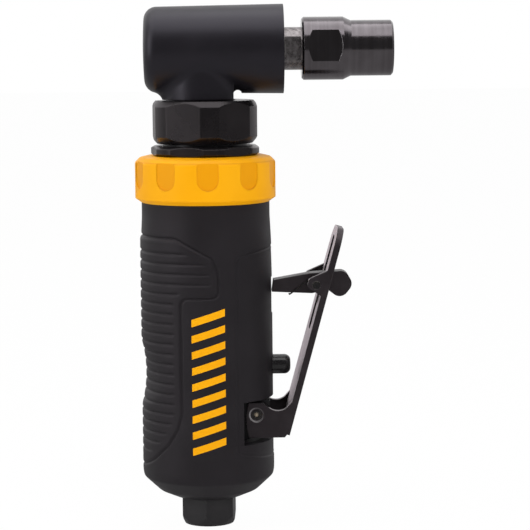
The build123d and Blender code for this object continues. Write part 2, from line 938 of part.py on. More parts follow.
# neck blended into the head and milled flat below it; drawn longer at first so that the blend has room
blend_foot = neck_base - 2 * neck_blend_radius
with BuildPart() as neck_blank:
    add(head_blank.part)
    with BuildSketch(Plane.XY.offset(blend_foot)):
        with Locations((neck_offset, 0)):
            Circle(neck_radius)
    extrude(amount=head_axis - blend_foot)
    fillet(edges().filter_by(GeomType.BSPLINE), radius=neck_blend_radius)
    split(bisect_by=Plane((neck_flat, 0, 0), z_dir=(1, 0, 0)), keep=Keep.BOTTOM)
    split(bisect_by=Plane.XY.offset(neck_base), keep=Keep.TOP)

with BuildPart() as angle_head:
    add(head_blank.part)
    add(neck_blank.part)
    revolve(
        outline(
            motor_line,
            (0, spigot_base),
            (spigot_radius, spigot_base),
            (spigot_radius, nose_top),
            (head_flange_radius, nose_top),
            (head_flange_radius, head_flange_top),
            (clamp_nut_eye - play, head_flange_top),
            (clamp_nut_eye - play, neck_base),
            (0, neck_base),
        ),
        axis=Axis.Z,
    )
    # round corner of the milled flat
    with BuildSketch(Plane.XZ):
        with Locations((neck_flat + neck_groove_radius, head_axis - head_radius)):
            Circle(neck_groove_radius)
    extrude(amount=head_radius, both=True, mode=Mode.SUBTRACT)
    revolve(
        outline(
            spindle_line,
            (0, rear_bearing_back - end_gap),
            (rear_spindle_outside + slip, rear_bearing_back - end_gap),
            (rear_spindle_outside + slip, rear_bearing_face),
            (gear_chamber_radius, rear_bearing_face),
            (gear_chamber_radius, front_bearing_back),
            (front_spindle_outside + slip, front_bearing_back),
            (front_spindle_outside + slip, head_front),
            (0, head_front),
        ),
        axis=spindle_axis,
        mode=Mode.SUBTRACT,
    )
    revolve(
        outline(
            motor_line,
            (0, spigot_base),
            (lower_bearing_outside + slip, spigot_base),
            (lower_bearing_outside + slip, circlip_base),
            (lower_bearing_outside + circlip_depth, circlip_base),
            (lower_bearing_outside + circlip_depth, lower_bearing_base),
            (lower_bearing_outside + slip, lower_bearing_base),
            (lower_bearing_outside + slip, lower_bearing_top),
            (upper_bearing_outside + slip, lower_bearing_top),
            (upper_bearing_outside + slip, head_axis),
            (0, head_axis),
        ),
        axis=Axis.Z,
        mode=Mode.SUBTRACT,
    )
finish(angle_head, "angle_head")

# Bevel gears: the pinion points up the motor axis, the gear faces back along the spindle
pinion_pitch_radius = bevel_module * pinion_teeth / 2
gear_pitch_radius = bevel_module * gear_teeth / 2
cone_distance = hypot(pinion_pitch_radius, gear_pitch_radius)
toe_share = 1 - face_width / cone_distance


def bevel_tooth(pitch_radius, mate_radius):
    cone = atan2(pitch_radius, mate_radius)
    slant = Vector(sin(cone), 0, cos(cone))
    virtual_radius = pitch_radius / cos(cone)
    base_radius = virtual_radius * cos(radians(pressure_angle))
    start_involute = tan(radians(pressure_angle)) - radians(pressure_angle)
    half_angle = (pi * bevel_module / 4 - tooth_backlash / 2) / virtual_radius

    def flank(height):
        radius = virtual_radius + height * bevel_module
        pressure = acos(min(1, base_radius / radius))
        angle = half_angle + start_involute - (tan(pressure) - pressure)
        return radius * sin(angle), radius * cos(angle) - virtual_radius

    heights = (-tooth_dedendum - root_bite, -tooth_dedendum / 2, 0, tooth_addendum / 2, tooth_addendum)
    right = [flank(height) for height in heights]
    left = [(-across, up) for across, up in reversed(right)]
    with BuildPart() as tooth:
        for share in (1, toe_share):
            with BuildSketch(Plane(slant * cone_distance * share, x_dir=(0, 1, 0), z_dir=-slant)):
                with BuildLine():
                    Polyline(*[(across * share, up * share) for across, up in right + left], close=True)
                make_face()
        loft(ruled=True)
    return tooth.part


def root_point(pitch_radius, mate_radius, share):
    cone = atan2(pitch_radius, mate_radius)
    depth = tooth_dedendum * bevel_module
    return (pitch_radius - depth * cos(cone)) * share, (mate_radius + depth * sin(cone)) * share


upper_bearing_top = head_axis - gear_pitch_radius - pinion_hub
upper_bearing_base = upper_bearing_top - upper_bearing_width
heel_radius, heel_depth = root_point(pinion_pitch_radius, gear_pitch_radius, 1)
toe_radius, toe_depth = root_point(pinion_pitch_radius, gear_pitch_radius, toe_share)
pinion_tooth = bevel_tooth(pinion_pitch_radius, gear_pitch_radius)
with BuildPart(Plane((0, 0, head_axis), x_dir=(1, 0, 0), z_dir=(0, 0, -1))) as bevel_pinion:
    revolve(
        outline(
            motor_line,
            (0, drive_top),
            (pinion_bearing_bore - slip, drive_top),
            (pinion_bearing_bore - slip, upper_bearing_top),
            (pinion_bearing_bore + bearing_shoulder, upper_bearing_top),
            (heel_radius, head_axis - heel_depth),
            (toe_radius, head_axis - toe_depth),
            (0, head_axis - toe_depth),
        ),
        axis=Axis.Z,
    )
    with PolarLocations(0, pinion_teeth):
        add(pinion_tooth)
    with BuildSketch(Plane.XY.offset(drive_base)):
        RegularPolygon(drive_flats / 2, 6, major_radius=False)
    extrude(amount=drive_length)
finish(bevel_pinion, "bevel_pinion")

ball_bearing(
    "lower_pinion_bearing",
    motor_line,
    pinion_bearing_bore,
    lower_bearing_outside,
    lower_bearing_width,
    lower_bearing_base,
)
ball_bearing(
    "upper_pinion_bearing",
    motor_line,
    pinion_bearing_bore,
    upper_bearing_outside,
    upper_bearing_width,
    upper_bearing_base,
)

with BuildPart() as pinion_spacer:
    revolve(
        band(
            motor_line,
            pinion_bearing_bore,
            pinion_bearing_bore + spacer_wall,
            lower_bearing_top,
            upper_bearing_base,
        ),
        axis=Axis.Z,
    )
finish(pinion_spacer, "pinion_spacer")

with BuildPart() as pinion_retaining_ring:
    with BuildSketch(Plane.XY.offset(circlip_base)):
        Circle(lower_bearing_outside + circlip_depth - slip)
        Circle(lower_bearing_outside - circlip_width, mode=Mode.SUBTRACT)
        with Locations((0, lower_bearing_outside)):
            Rectangle(circlip_gap, 2 * (circlip_width + circlip_depth), mode=Mode.SUBTRACT)
    extrude(amount=circlip_thickness)
finish(pinion_retaining_ring, "pinion_retaining_ring")

gear_back = pinion_pitch_radius + gear_hub
heel_radius, heel_depth = root_point(gear_pitch_radius, pinion_pitch_radius, 1)
toe_radius, toe_depth = root_point(gear_pitch_radius, pinion_pitch_radius, toe_share)
gear_tooth = bevel_tooth(gear_pitch_radius, pinion_pitch_radius)
with BuildPart(Plane((0, 0, head_axis), x_dir=(0, 0, -1), z_dir=(1, 0, 0))) as bevel_gear:
    revolve(
        outline(
            spindle_line,
            (rear_spindle_bore, toe_depth),
            (toe_radius, toe_depth),
            (heel_radius, heel_depth),
            (heel_radius, heel_depth + bevel_module),
            (gear_hub_radius, heel_depth + bevel_module),
            (gear_hub_radius, gear_back),
            (rear_spindle_bore, gear_back),
        ),
        axis=spindle_axis,
    )
    with PolarLocations(0, gear_teeth, 180 / gear_teeth):
        add(gear_tooth)
    with BuildSketch(Plane.YZ.offset(gear_back)):
        with Locations((0, head_axis + rear_spindle_bore)):
            Rectangle(key_width + 2 * slip, key_width + 2 * slip)
    extrude(amount=-key_length - end_gap, mode=Mode.SUBTRACT)
finish(bevel_gear, "bevel_gear")

with BuildPart() as gear_key:
    with BuildSketch(Plane.YZ.offset(gear_back)):
        with Locations((0, head_axis + rear_spindle_bore)):
            Rectangle(key_width, key_width)
    extrude(amount=-key_length)
finish(gear_key, "gear_key")

with BuildPart() as gear_spacer:
    revolve(
        band(spindle_line, rear_spindle_bore, gear_hub_radius, gear_back, front_bearing_back), axis=spindle_axis
    )
finish(gear_spacer, "gear_spacer")

ball_bearing(
    "rear_spindle_bearing",
    spindle_line,
    rear_spindle_bore,
    rear_spindle_outside,
    rear_spindle_width,
    rear_bearing_back,
)
ball_bearing(
    "front_spindle_bearing",
    spindle_line,
    front_spindle_bore,
    front_spindle_outside,
    front_spindle_width,
    front_bearing_back,
)

# Bearing cap and seal in the mouth of the head
seal_back = head_front - seal_width
with BuildPart() as bearing_cap:
    revolve(
        outline(
            spindle_line,
            (spindle_radius + play, front_bearing_face),
            (front_spindle_outside, front_bearing_face),
            (front_spindle_outside, head_front),
            (spindle_radius + seal_wall, head_front),
            (spindle_radius + seal_wall, seal_back),
            (spindle_radius + play, seal_back),
        ),
        axis=spindle_axis,
    )
    with BuildSketch(Plane.YZ.offset(head_front)):
        with Locations((0, head_axis)):
            with PolarLocations(cap_hole_reach, 2):
                Circle(cap_hole_radius)
    extrude(amount=-cap_hole_depth, mode=Mode.SUBTRACT)
finish(bearing_cap, "bearing_cap")

with BuildPart() as spindle_seal:
    revolve(
        band(spindle_line, spindle_radius + running, spindle_radius + seal_wall - slip, seal_back, head_front),
        axis=spindle_axis,
    )
finish(spindle_seal, "spindle_seal")

# Spindle with its wrench flats and the tapered socket of the collet
collet_front = spindle_end + collet_head_length + collet_cone_length + end_gap
collet_head = spindle_end + end_gap
collet_back = collet_front - collet_length
taper = (collet_mouth_radius - collet_back_radius) / (collet_head - collet_back)
socket_back_radius = collet_back_radius + running - taper * end_gap
with BuildPart() as spindle:
    revolve(
        outline(
            spindle_line,
            (0, rear_bearing_back),
            (rear_spindle_bore - slip, rear_bearing_back),
            (rear_spindle_bore - slip, front_bearing_back),
            (front_spindle_bore - slip, front_bearing_back),
            (front_spindle_bore - slip, front_bearing_face),
            (spindle_radius, front_bearing_face),
            (spindle_radius, spindle_end),
            (collet_mouth_radius + running, spindle_end),
            (socket_back_radius, collet_back - end_gap),
            (collet_bore_radius + play, collet_back - end_gap),
            (collet_bore_radius + play, collet_back - shank_hole_depth),
            (0, collet_back - shank_hole_depth),
        ),
        axis=spindle_axis,
    )
    flat_middle = nut_back - spindle_gap / 2
    with BuildSketch(Plane.XY.offset(head_axis)):
        with Locations((flat_middle, spindle_flats), (flat_middle, -spindle_flats)):
            Rectangle(spindle_flat_width, spindle_flats)
    extrude(amount=spindle_radius, both=True, mode=Mode.SUBTRACT)
    with BuildSketch(Plane.YZ.offset(gear_back + end_gap)):
        with Locations((0, head_axis + rear_spindle_bore)):
            Rectangle(key_width + 2 * slip, key_width + 2 * slip)
    extrude(amount=-key_length - 2 * end_gap, mode=Mode.SUBTRACT)
finish(spindle, "spindle")

with BuildPart() as collet:
    revolve(
        outline(
            spindle_line,
            (collet_bore_radius, collet_back),
            (collet_back_radius, collet_back),
            (collet_mouth_radius, collet_head),
            (collet_head_radius, collet_head),
            (collet_head_radius, collet_head + collet_head_length),
            (collet_cone_radius, collet_front),
            (collet_bore_radius, collet_front),
        ),
        axis=spindle_axis,
    )
    with BuildSketch(Plane.YZ.offset(collet_back + collet_solid_length)):
        with Locations((0, head_axis)):
            with PolarLocations(collet_head_radius / 2, collet_slots, 45):
                Rectangle(collet_head_radius, collet_slot)
    extrude(amount=collet_length, mode=Mode.SUBTRACT)
finish(collet, "collet")

# Collet nut
seat_start = collet_head + collet_head_length + slip
seat_end = collet_front + slip
with BuildPart() as collet_nut:
    large_end = nut_back + nut_large_length
    with BuildSketch(spindle_plane):
        with BuildLine():
            Polyline(
                (nut_small_radius, large_end + nut_cone_length),
                (nut_small_radius, nut_front - nut_end_chamfer),
                (nut_small_radius - nut_end_chamfer, nut_front),
                (nut_mouth_radius, nut_front),
                (nut_mouth_radius, seat_end),
                (collet_cone_radius + slip, seat_end),
                (collet_head_radius + slip, seat_start),
                (collet_head_radius + play, seat_start),
                (collet_head_radius + play, spindle_end + end_gap),
                (spindle_radius + running, spindle_end + end_gap),
                (spindle_radius + running, nut_back),
                (nut_large_radius - nut_edge_chamfer, nut_back),
                (nut_large_radius, nut_back + nut_edge_chamfer),
                (nut_large_radius, large_end),
                close=True,
            )
        make_face()
    revolve(axis=spindle_axis)
    for side in (0, 180):
        flat_plane = Plane((nut_back, 0, head_axis), x_dir=(1, 0, 0), z_dir=(0, -1, 0))
        turned_plane = flat_plane.rotated((nut_turn_at_rest + side, 0, 0))
        with BuildSketch(turned_plane.offset(nut_flats / 2)):
            with Locations((nut_flat_middle + nut_flat_length / 2 - nut_flat_end_radius, 0)):
                Circle(nut_flat_end_radius)
            with Locations((nut_flat_middle - nut_flat_length / 2 + nut_flat_end_radius, 0)):
                Circle(nut_flat_end_radius, mode=Mode.INTERSECT)
        extrude(amount=nut_large_radius, mode=Mode.SUBTRACT)
finish(collet_nut, "collet_nut")

# Grip sleeve with the thumb ribs, the palm hollow and the panel grooves
def grip_profile(inset):
    with BuildSketch(Plane.XZ) as profile:
        with BuildLine():
            Polyline(
                (0, grip_foot),
                (grip_opening_radius - inset, grip_foot),
                (grip_cone_radius - inset, grip_cone_height),
                (grip_shoulder_radius - inset, grip_shoulder_height),
                (grip_radius - inset, grip_shoulder_height + grip_shoulder_rounding),
                (grip_radius - inset, grip_taper_start),
            )
            TangentArc(
                (grip_radius - inset, grip_taper_start),
                (grip_top_radius - inset, grip_taper_end),
                tangent=(0, 1),
            )
            Polyline(
                (grip_top_radius - inset, grip_taper_end),
                (grip_top_radius - inset, collar_base),
                (0, collar_base),
                (0, grip_foot),
            )
        make_face()
    return profile.sketch


def panel_edge(height):
    for (x_top, z_top), (x_low, z_low) in zip(rib_panel, rib_panel[1:]):
        if z_low <= height <= z_top:
            return x_top + (x_low - x_top) * (z_top - height) / (z_top - z_low)
    return rib_panel[-1][0] if height < rib_panel[-1][1] else rib_panel[0][0]


def on_grip(panel):
    return [(share * grip_radius, height) for share, height in panel]


def grip_at(height):
    share = max(0, height - grip_taper_start) / (grip_taper_end - grip_taper_start)
    return grip_radius - (grip_radius - grip_top_radius) * share * share


def hollow_at(height):
    share = (height - hollow_height) / hollow_half_length
    return hollow_depth * max(0, 1 - share * share)


with BuildPart() as panel_grooves:
    with BuildSketch(Plane.XZ):
        with BuildLine():
            FilletPolyline(*on_grip(rib_panel), radius=panel_corner)
        trace(line_width=panel_groove_width)
        with BuildLine():
            FilletPolyline(*on_grip(lever_panel), radius=panel_corner)
        trace(line_width=panel_groove_width)
    extrude(amount=grip_radius, both=True)
    revolve(grip_profile(panel_groove_depth), axis=Axis.Z, mode=Mode.SUBTRACT)

with BuildPart() as grip_sleeve:
    revolve(grip_profile(0), axis=Axis.Z)
    # palm hollow, fading out to both sides
    with BuildSketch(Plane((hollow_offset, 0, 0), x_dir=(-1, 0, 0), z_dir=(0, 1, 0))):
        with BuildLine():
            hollow_waist = grip_radius + hollow_offset - hollow_depth
            hollow_edge = hollow_waist + hollow_depth * hollow_overrun**2
            hollow_low = (hollow_edge, hollow_height - hollow_half_length * hollow_overrun)
            hollow_high = (hollow_edge, hollow_height + hollow_half_length * hollow_overrun)
            ThreePointArc(hollow_low, (hollow_waist, hollow_height), hollow_high)
            Line(hollow_high, hollow_low)
        make_face()
    revolve(axis=Axis((hollow_offset, 0, 0), (0, 0, 1)), mode=Mode.SUBTRACT)
    # valleys between the ribs
    for rib in range(rib_count):
        height = rib_first + rib * rib_pitch
        sink = hollow_at(height)
        offset_x = hollow_offset * sink / hollow_depth
        crest = grip_at(height) - sink + offset_x
        spread = rib_reach_share * (180 - degrees(acos(panel_edge(height))))
        start = radians(180 - spread)
        start_plane = Plane(
            (offset_x, 0, 0), x_dir=(cos(start), sin(start), 0), z_dir=(sin(start), -cos(start), 0)
        )
        revolve(
            outline(
                (start_plane, None),
                (crest - rib_depth, height),
                (crest + rib_depth, height + rib_valley),
                (crest + rib_depth, height - rib_valley),
            ),
            axis=Axis((offset_x, 0, 0), (0, 0, 1)),
            revolution_arc=2 * spread,
            mode=Mode.SUBTRACT,
        )
    add(panel_grooves.part, mode=Mode.SUBTRACT)
    # bore for the housing, the exhaust room and the muffler's seat
    revolve(
        outline(
            motor_line,
            (0, grip_foot),
            (grip_opening_radius, grip_foot),
            (grip_opening_radius, inlet_hex_height),
            (muffler_radius + slip, inlet_hex_height),
            (muffler_radius + slip, housing_base - exhaust_room_height),
            (exhaust_room_radius, housing_base - exhaust_room_height),
            (exhaust_room_radius, housing_base),
            (housing_radius + slip, housing_base),
            (housing_radius + slip, collar_base),
            (0, collar_base),
        ),
        axis=Axis.Z,
        mode=Mode.SUBTRACT,
    )
    # shallow seat for the tail of the lock
    with BuildSketch(Plane.YZ.offset(grip_radius - lock_seat_depth)):
        with Locations((0, (lock_seat_foot + lock_seat_top) / 2)):
            RectangleRounded(lock_seat_width, lock_seat_top - lock_seat_foot, lock_seat_corner)
    extrude(amount=grip_radius, mode=Mode.SUBTRACT)
    # window for the lever's ears, and the hole for the valve stem
    with BuildSketch(Plane.XZ):
        with Locations((window_x0 + grip_radius / 2, (window_z0 + window_z1) / 2)):
            Rectangle(grip_radius, window_z1 - window_z0)
    extrude(amount=grip_radius, both=True, mode=Mode.SUBTRACT)
    revolve(
        band(valve_line, 0, stem_radius + play, housing_radius / 2, stem_tip),
        axis=valve_axis,
        mode=Mode.SUBTRACT,
    )
finish(grip_sleeve, "grip_sleeve")

# Throttle lever, bent from sheet steel
lean = radians(lever_lean)
lever_out = Vector(cos(lean), 0, -sin(lean))
lever_pin_place = Vector(lever_pin_x, 0, lever_pin_z)
lever_plane = Plane(lever_pin_place, x_dir=lever_out, z_dir=(0, -1, 0))
ear_plane = Plane(lever_pin_place, x_dir=(1, 0, 0), z_dir=(0, -1, 0))
strap_plane = Plane(lever_pin_place, x_dir=(0, 1, 0), z_dir=lever_out)
lock_place = lever_plane.to_local_coords(Vector(lock_pin_x, 0, lock_pin_z))
# the spring's leg lies on the strap's inner face
lock_spring_radius = strap_inner - lock_place.X - lock_spring_wire - slip
strap_outer = strap_inner + sheet
side_faces = (lever_width / 2 - sheet, -lever_width / 2)


def on_strap(out, along):
    return out * cos(lean) + along * sin(lean), along * cos(lean) - out * sin(lean)


with BuildPart() as throttle_lever:
    with BuildSketch(strap_plane.offset(strap_inner)):
        with Locations((0, (strap_top + strap_foot) / 2)):
            Rectangle(lever_width, strap_top - strap_foot)
        fillet(vertices().group_by(Axis.Y)[-1], radius=strap_corner)
        with Locations((0, (slot_top + slot_foot) / 2)):
            RectangleRounded(slot_width, slot_top - slot_foot, slot_corner, mode=Mode.SUBTRACT)
    extrude(amount=sheet)
    for side_face in side_faces:
        with BuildSketch(ear_plane.offset(side_face)):
            with BuildLine():
                Polyline(
                    (ear_nick_end, ear_nick_edge),
                    on_strap(strap_inner, ear_top),
                    on_strap(strap_outer, ear_top),
                    on_strap(strap_outer, ear_heel),
                    (ear_toe, ear_foot),
                    (ear_back, ear_foot),
                )
                ThreePointArc(
                    (ear_back, ear_foot),
                    (ear_back - ear_bulge, (ear_foot + ear_head) / 2),
                    (ear_back, ear_head),
                )
                Polyline((ear_back, ear_head), (ear_flat_end, ear_head), (ear_nick_start, ear_nick_edge))
                ThreePointArc(
                    (ear_nick_start, ear_nick_edge),
                    ((ear_nick_start + ear_nick_end) / 2, ear_nick_floor),
                    (ear_nick_end, ear_nick_edge),
                )
            make_face()
        extrude(amount=sheet)
        with BuildSketch(lever_plane.offset(side_face)):
            with BuildLine():
                Polyline(
                    (strap_outer, lock_flange_foot),
                    (strap_outer, lock_flange_top),
                    (lock_place.X - lock_flange_reach, lock_place.Y + lock_pin_radius),
                    (lock_place.X - lock_flange_reach, lock_place.Y - lock_pin_radius),
                    close=True,
                )
            make_face()
            fillet(vertices().group_by(Axis.X)[0], radius=lock_pin_radius)
        extrude(amount=sheet)
    with BuildSketch(ear_plane):
        Circle(lever_pin_radius + running)
    extrude(amount=lever_width, both=True, mode=Mode.SUBTRACT)
    for sink_face in (lever_width / 2 - ear_sink_depth, -lever_width / 2):
        with BuildSketch(ear_plane.offset(sink_face)):
            Circle(ear_sink_radius)
        extrude(amount=ear_sink_depth, mode=Mode.SUBTRACT)
    with BuildSketch(lever_plane):
        with Locations((lock_place.X, lock_place.Y)):
            Circle(lock_pin_radius + slip)
    extrude(amount=lever_width, both=True, mode=Mode.SUBTRACT)
finish(throttle_lever, "throttle_lever")

with BuildPart() as lever_pin:
    with BuildSketch(ear_plane):
        Circle(lever_pin_radius)
        Circle(lever_pin_bore, mode=Mode.SUBTRACT)
    extrude(amount=lever_width / 2 - ear_sink_depth, both=True)
finish(lever_pin, "lever_pin")

# Safety lock, its pin and its spring
lock_plane = Plane((lock_pin_x, 0, lock_pin_z), x_dir=(1, 0, 0), z_dir=(0, -1, 0))
tip = grip_radius - lock_tip_depth - lock_pin_x
with BuildPart() as lock_lever:
    with BuildSketch(lock_plane):
        with BuildLine():
            Polyline(
                (tip + lock_tail_slant, lock_tail_top),
                lock_brow,
                lock_crown,
                lock_nose,
                lock_chin,
                lock_throat,
                lock_heel,
                (tip, lock_tail_foot),
                close=True,
            )
        make_face()
        fillet(vertices().sort_by_distance((*lock_crown, 0))[0], radius=lock_crown_rounding)
        for corner in (lock_nose, lock_chin):
            fillet(vertices().sort_by_distance((*corner, 0))[0], radius=lock_nose_rounding)
        Circle(lock_pin_radius + running, mode=Mode.SUBTRACT)
    extrude(amount=lock_width / 2, both=True)
finish(lock_lever, "lock_lever")

with BuildPart() as lock_pin:
    with BuildSketch(lock_plane):
        Circle(lock_pin_radius)
    extrude(amount=lever_width / 2, both=True)
finish(lock_pin, "lock_pin")

hook = Vector(-lock_spring_reach, -lock_spring_drop)
hook_angle = atan2(hook.Y, hook.X) - acos(lock_spring_radius / hook.length)
leg_angle = -lean
sweep_angle = hook_angle % (2 * pi) - leg_angle + 2 * pi * lock_spring_turns
coil_side = lock_width / 2 + lock_spring_wire + play
coil_steps = 4 * (lock_spring_turns + 1)


def lock_point(across, up, side):
    return Vector(lock_pin_x + across, -side, lock_pin_z + up)


def lock_coil(step):
    turned = step * sweep_angle / coil_steps
    angle = hook_angle - turned
    side = coil_side + lock_spring_pitch * turned / (2 * pi)
    place = lock_point(lock_spring_radius * cos(angle), lock_spring_radius * sin(angle), side)
    way = Vector(
        lock_spring_radius * sin(angle), -lock_spring_pitch / (2 * pi), -lock_spring_radius * cos(angle)
    )
    return place, way.normalized()


hook_bend = 3 * lock_spring_wire
hook_corner = lock_point(hook.X, hook.Y, coil_side)
coil_start, coil_way = lock_coil(0)
coil_end, leg_way = lock_coil(coil_steps)
hook_start = hook_corner + Vector(0, coil_side - play, 0)
leg_start = (coil_start - hook_corner).normalized()
with BuildPart() as lock_spring:
    with BuildLine() as lock_wire:
        bend_start = hook_corner + Vector(0, hook_bend, 0)
        bend_end = hook_corner + leg_start * hook_bend
        Line(hook_start, bend_start)
        TangentArc(bend_start, bend_end, tangent=(0, -1, 0))
        leg_end = coil_start - leg_start * hook_bend
        Line(bend_end, leg_end)
        join_arcs(leg_end, leg_start, coil_start, coil_way)
        for step in range(coil_steps):
            join_arcs(*lock_coil(step), *lock_coil(step + 1))
        Line(coil_end, coil_end + leg_way * lock_spring_leg)
    with BuildSketch(Plane(hook_start, z_dir=(0, -1, 0))):
        Circle(lock_spring_wire)
    sweep(path=lock_wire.line)
finish(lock_spring, "lock_spring")
coil_points = [lock_coil(step / 4)[0] for step in range(4 * coil_steps + 1)]
print("lock spring gap", round(least_gap(coil_points, lock_spring_wire, pi * lock_spring_radius), 3))
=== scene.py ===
import bpy
import math
import numpy as np
from mathutils import Matrix, Vector


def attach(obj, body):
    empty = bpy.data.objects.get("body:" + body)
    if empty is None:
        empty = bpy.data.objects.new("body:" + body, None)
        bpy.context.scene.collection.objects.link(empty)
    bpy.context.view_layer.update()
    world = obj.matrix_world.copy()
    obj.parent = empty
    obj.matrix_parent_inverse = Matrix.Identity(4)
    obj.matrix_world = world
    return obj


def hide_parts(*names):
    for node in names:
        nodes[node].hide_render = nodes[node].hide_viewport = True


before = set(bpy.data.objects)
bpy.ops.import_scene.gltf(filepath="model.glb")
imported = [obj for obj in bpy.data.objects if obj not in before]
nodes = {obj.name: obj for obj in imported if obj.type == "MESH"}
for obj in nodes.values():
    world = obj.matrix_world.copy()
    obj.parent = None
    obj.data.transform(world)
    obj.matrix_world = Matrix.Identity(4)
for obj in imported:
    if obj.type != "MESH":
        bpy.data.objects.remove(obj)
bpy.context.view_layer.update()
scene = bpy.context.scene
scene.view_settings.view_transform = "Standard"
print("frame loaded:", len(nodes), "nodes")

# camera, level with the head and looking slightly down
cameraSetup = {
    "place": (0.002, -0.6738, 0.1553),
    "pitchDown": 6.21,
    "yaw": -1.4,
    "roll": -0.55,
    "fieldOfView": 14.05,
    "clip": (0.01, 50.0),
}
cameraData = bpy.data.cameras.new("productCamera")
cameraData.sensor_fit = "HORIZONTAL"
cameraData.angle = math.radians(cameraSetup["fieldOfView"])
cameraData.clip_start, cameraData.clip_end = cameraSetup["clip"]
camera = bpy.data.objects.new("productCamera", cameraData)
scene.collection.objects.link(camera)
camera.matrix_world = (
    Matrix.Translation(cameraSetup["place"])
    @ Matrix.Rotation(math.radians(cameraSetup["yaw"]), 4, "Z")
    @ Matrix.Rotation(math.radians(90 - cameraSetup["pitchDown"]), 4, "X")
    @ Matrix.Rotation(math.radians(cameraSetup["roll"]), 4, "Z")
)
scene.camera = camera
print("camera set")


# small helpers for node trees
def addNode(tree, kind, **values):
    node = tree.nodes.new(kind)
    for name, value in values.items():
        if hasattr(node, name):
            setattr(node, name, value)
        else:
            node.inputs[name].default_value = value
    return node


def addMath(tree, operation, first, second=None):
    node = tree.nodes.new("ShaderNodeMath")
    node.operation = operation
    for index, value in enumerate((first, second)):
        if value is None:
            continue
        if isinstance(value, (int, float)):
            node.inputs[index].default_value = value
        else:
            tree.links.new(value, node.inputs[index])
    return node.outputs[0]


def addRange(tree, value, fromLow, fromHigh, toLow, toHigh):
    node = tree.nodes.new("ShaderNodeMapRange")
    node.interpolation_type = "SMOOTHSTEP"
    for name, number in (
        ("From Min", fromLow), ("From Max", fromHigh), ("To Min", toLow), ("To Max", toHigh),
    ):
        node.inputs[name].default_value = number
    tree.links.new(value, node.inputs["Value"])
    return node.outputs[0]


def addMix(tree, factor, first, second):
    node = tree.nodes.new("ShaderNodeMix")
    node.data_type = "RGBA"
    tree.links.new(factor, node.inputs["Factor"])
    # inputs 6 and 7 are the two colours, and output 2 their mix
    for socket, value in ((node.inputs[6], first), (node.inputs[7], second)):
        if isinstance(value, tuple):
            socket.default_value = (*value, 1)
        else:
            tree.links.new(value, socket)
    return node.outputs[2]


def addLength(tree, first, second):
    squares = [addMath(tree, "POWER", side, 2.0) for side in (first, second)]
    return addMath(tree, "SQRT", addMath(tree, "ADD", *squares))


def splitPlace(tree, space="Object"):
    place = addNode(tree, "ShaderNodeTexCoord")
    split = addNode(tree, "ShaderNodeSeparateXYZ")
    tree.links.new(place.outputs[space], split.inputs[0])
    return split.outputs


def newGroup(name, inputs, outputs):
    group = bpy.data.node_groups.new(name, "ShaderNodeTree")
    for label, start in inputs.items():
        socket = group.interface.new_socket(label, in_out="INPUT", socket_type="NodeSocketFloat")
        socket.default_value = start
    for label, kind in outputs.items():
        group.interface.new_socket(label, in_out="OUTPUT", socket_type=kind)
    return group, group.nodes.new("NodeGroupInput"), group.nodes.new("NodeGroupOutput")


def placeGroup(tree, group, **values):
    node = tree.nodes.new("ShaderNodeGroup")
    node.node_tree = group
    for name, value in values.items():
        node.inputs[name].default_value = value
    return node


# moulded or cast grain: a fine height and a slow tone
grainSpan = {"tone": (0.35, 0.68)}
grainGroup, groupIn, groupOut = newGroup(
    "surfaceGrain",
    {"Scale": 3000.0, "Patch": 60.0},
    {"Height": "NodeSocketFloat", "Tone": "NodeSocketFloat"},
)
place = addNode(grainGroup, "ShaderNodeTexCoord")
fine = addNode(grainGroup, "ShaderNodeTexNoise", Detail=3.0, Roughness=0.6)
slow = addNode(grainGroup, "ShaderNodeTexNoise", Detail=4.0, Roughness=0.55)
for noise, size in ((fine, "Scale"), (slow, "Patch")):
    grainGroup.links.new(place.outputs["Object"], noise.inputs["Vector"])
    grainGroup.links.new(groupIn.outputs[size], noise.inputs["Scale"])
slowTone = addRange(grainGroup, slow.outputs[0], *grainSpan["tone"], 0, 1)
grainGroup.links.new(fine.outputs[0], groupOut.inputs["Height"])
grainGroup.links.new(slowTone, groupOut.inputs["Tone"])

# rounded edges, with a broken mask where handling has rubbed them
edgeSpan = {"turn": (0.992, 0.86), "breaks": (0.38, 0.62), "rubbed": (0.25, 1)}
edgeGroup, groupIn, groupOut = newGroup(
    "rubbedEdges",
    {"Radius": 0.0003, "Breaks": 900.0},
    {"Normal": "NodeSocketVector", "Edge": "NodeSocketFloat"},
)
rounded = addNode(edgeGroup, "ShaderNodeBevel", samples=6)
surface = addNode(edgeGroup, "ShaderNodeNewGeometry")
turnOff = addNode(edgeGroup, "ShaderNodeVectorMath", operation="DOT_PRODUCT")
place = addNode(edgeGroup, "ShaderNodeTexCoord")
breaks = addNode(edgeGroup, "ShaderNodeTexNoise", Detail=2.0, Roughness=0.6)
edgeGroup.links.new(groupIn.outputs["Radius"], rounded.inputs["Radius"])
edgeGroup.links.new(rounded.outputs[0], turnOff.inputs[0])
edgeGroup.links.new(surface.outputs["Normal"], turnOff.inputs[1])
edgeGroup.links.new(place.outputs["Object"], breaks.inputs["Vector"])
edgeGroup.links.new(groupIn.outputs["Breaks"], breaks.inputs["Scale"])
edgeMask = addRange(edgeGroup, turnOff.outputs["Value"], *edgeSpan["turn"], 0, 1)
breakMask = addRange(edgeGroup, breaks.outputs[0], *edgeSpan["breaks"], *edgeSpan["rubbed"])
edgeGroup.links.new(addMath(edgeGroup, "MULTIPLY", edgeMask, breakMask), groupOut.inputs["Edge"])
edgeGroup.links.new(rounded.outputs[0], groupOut.inputs["Normal"])

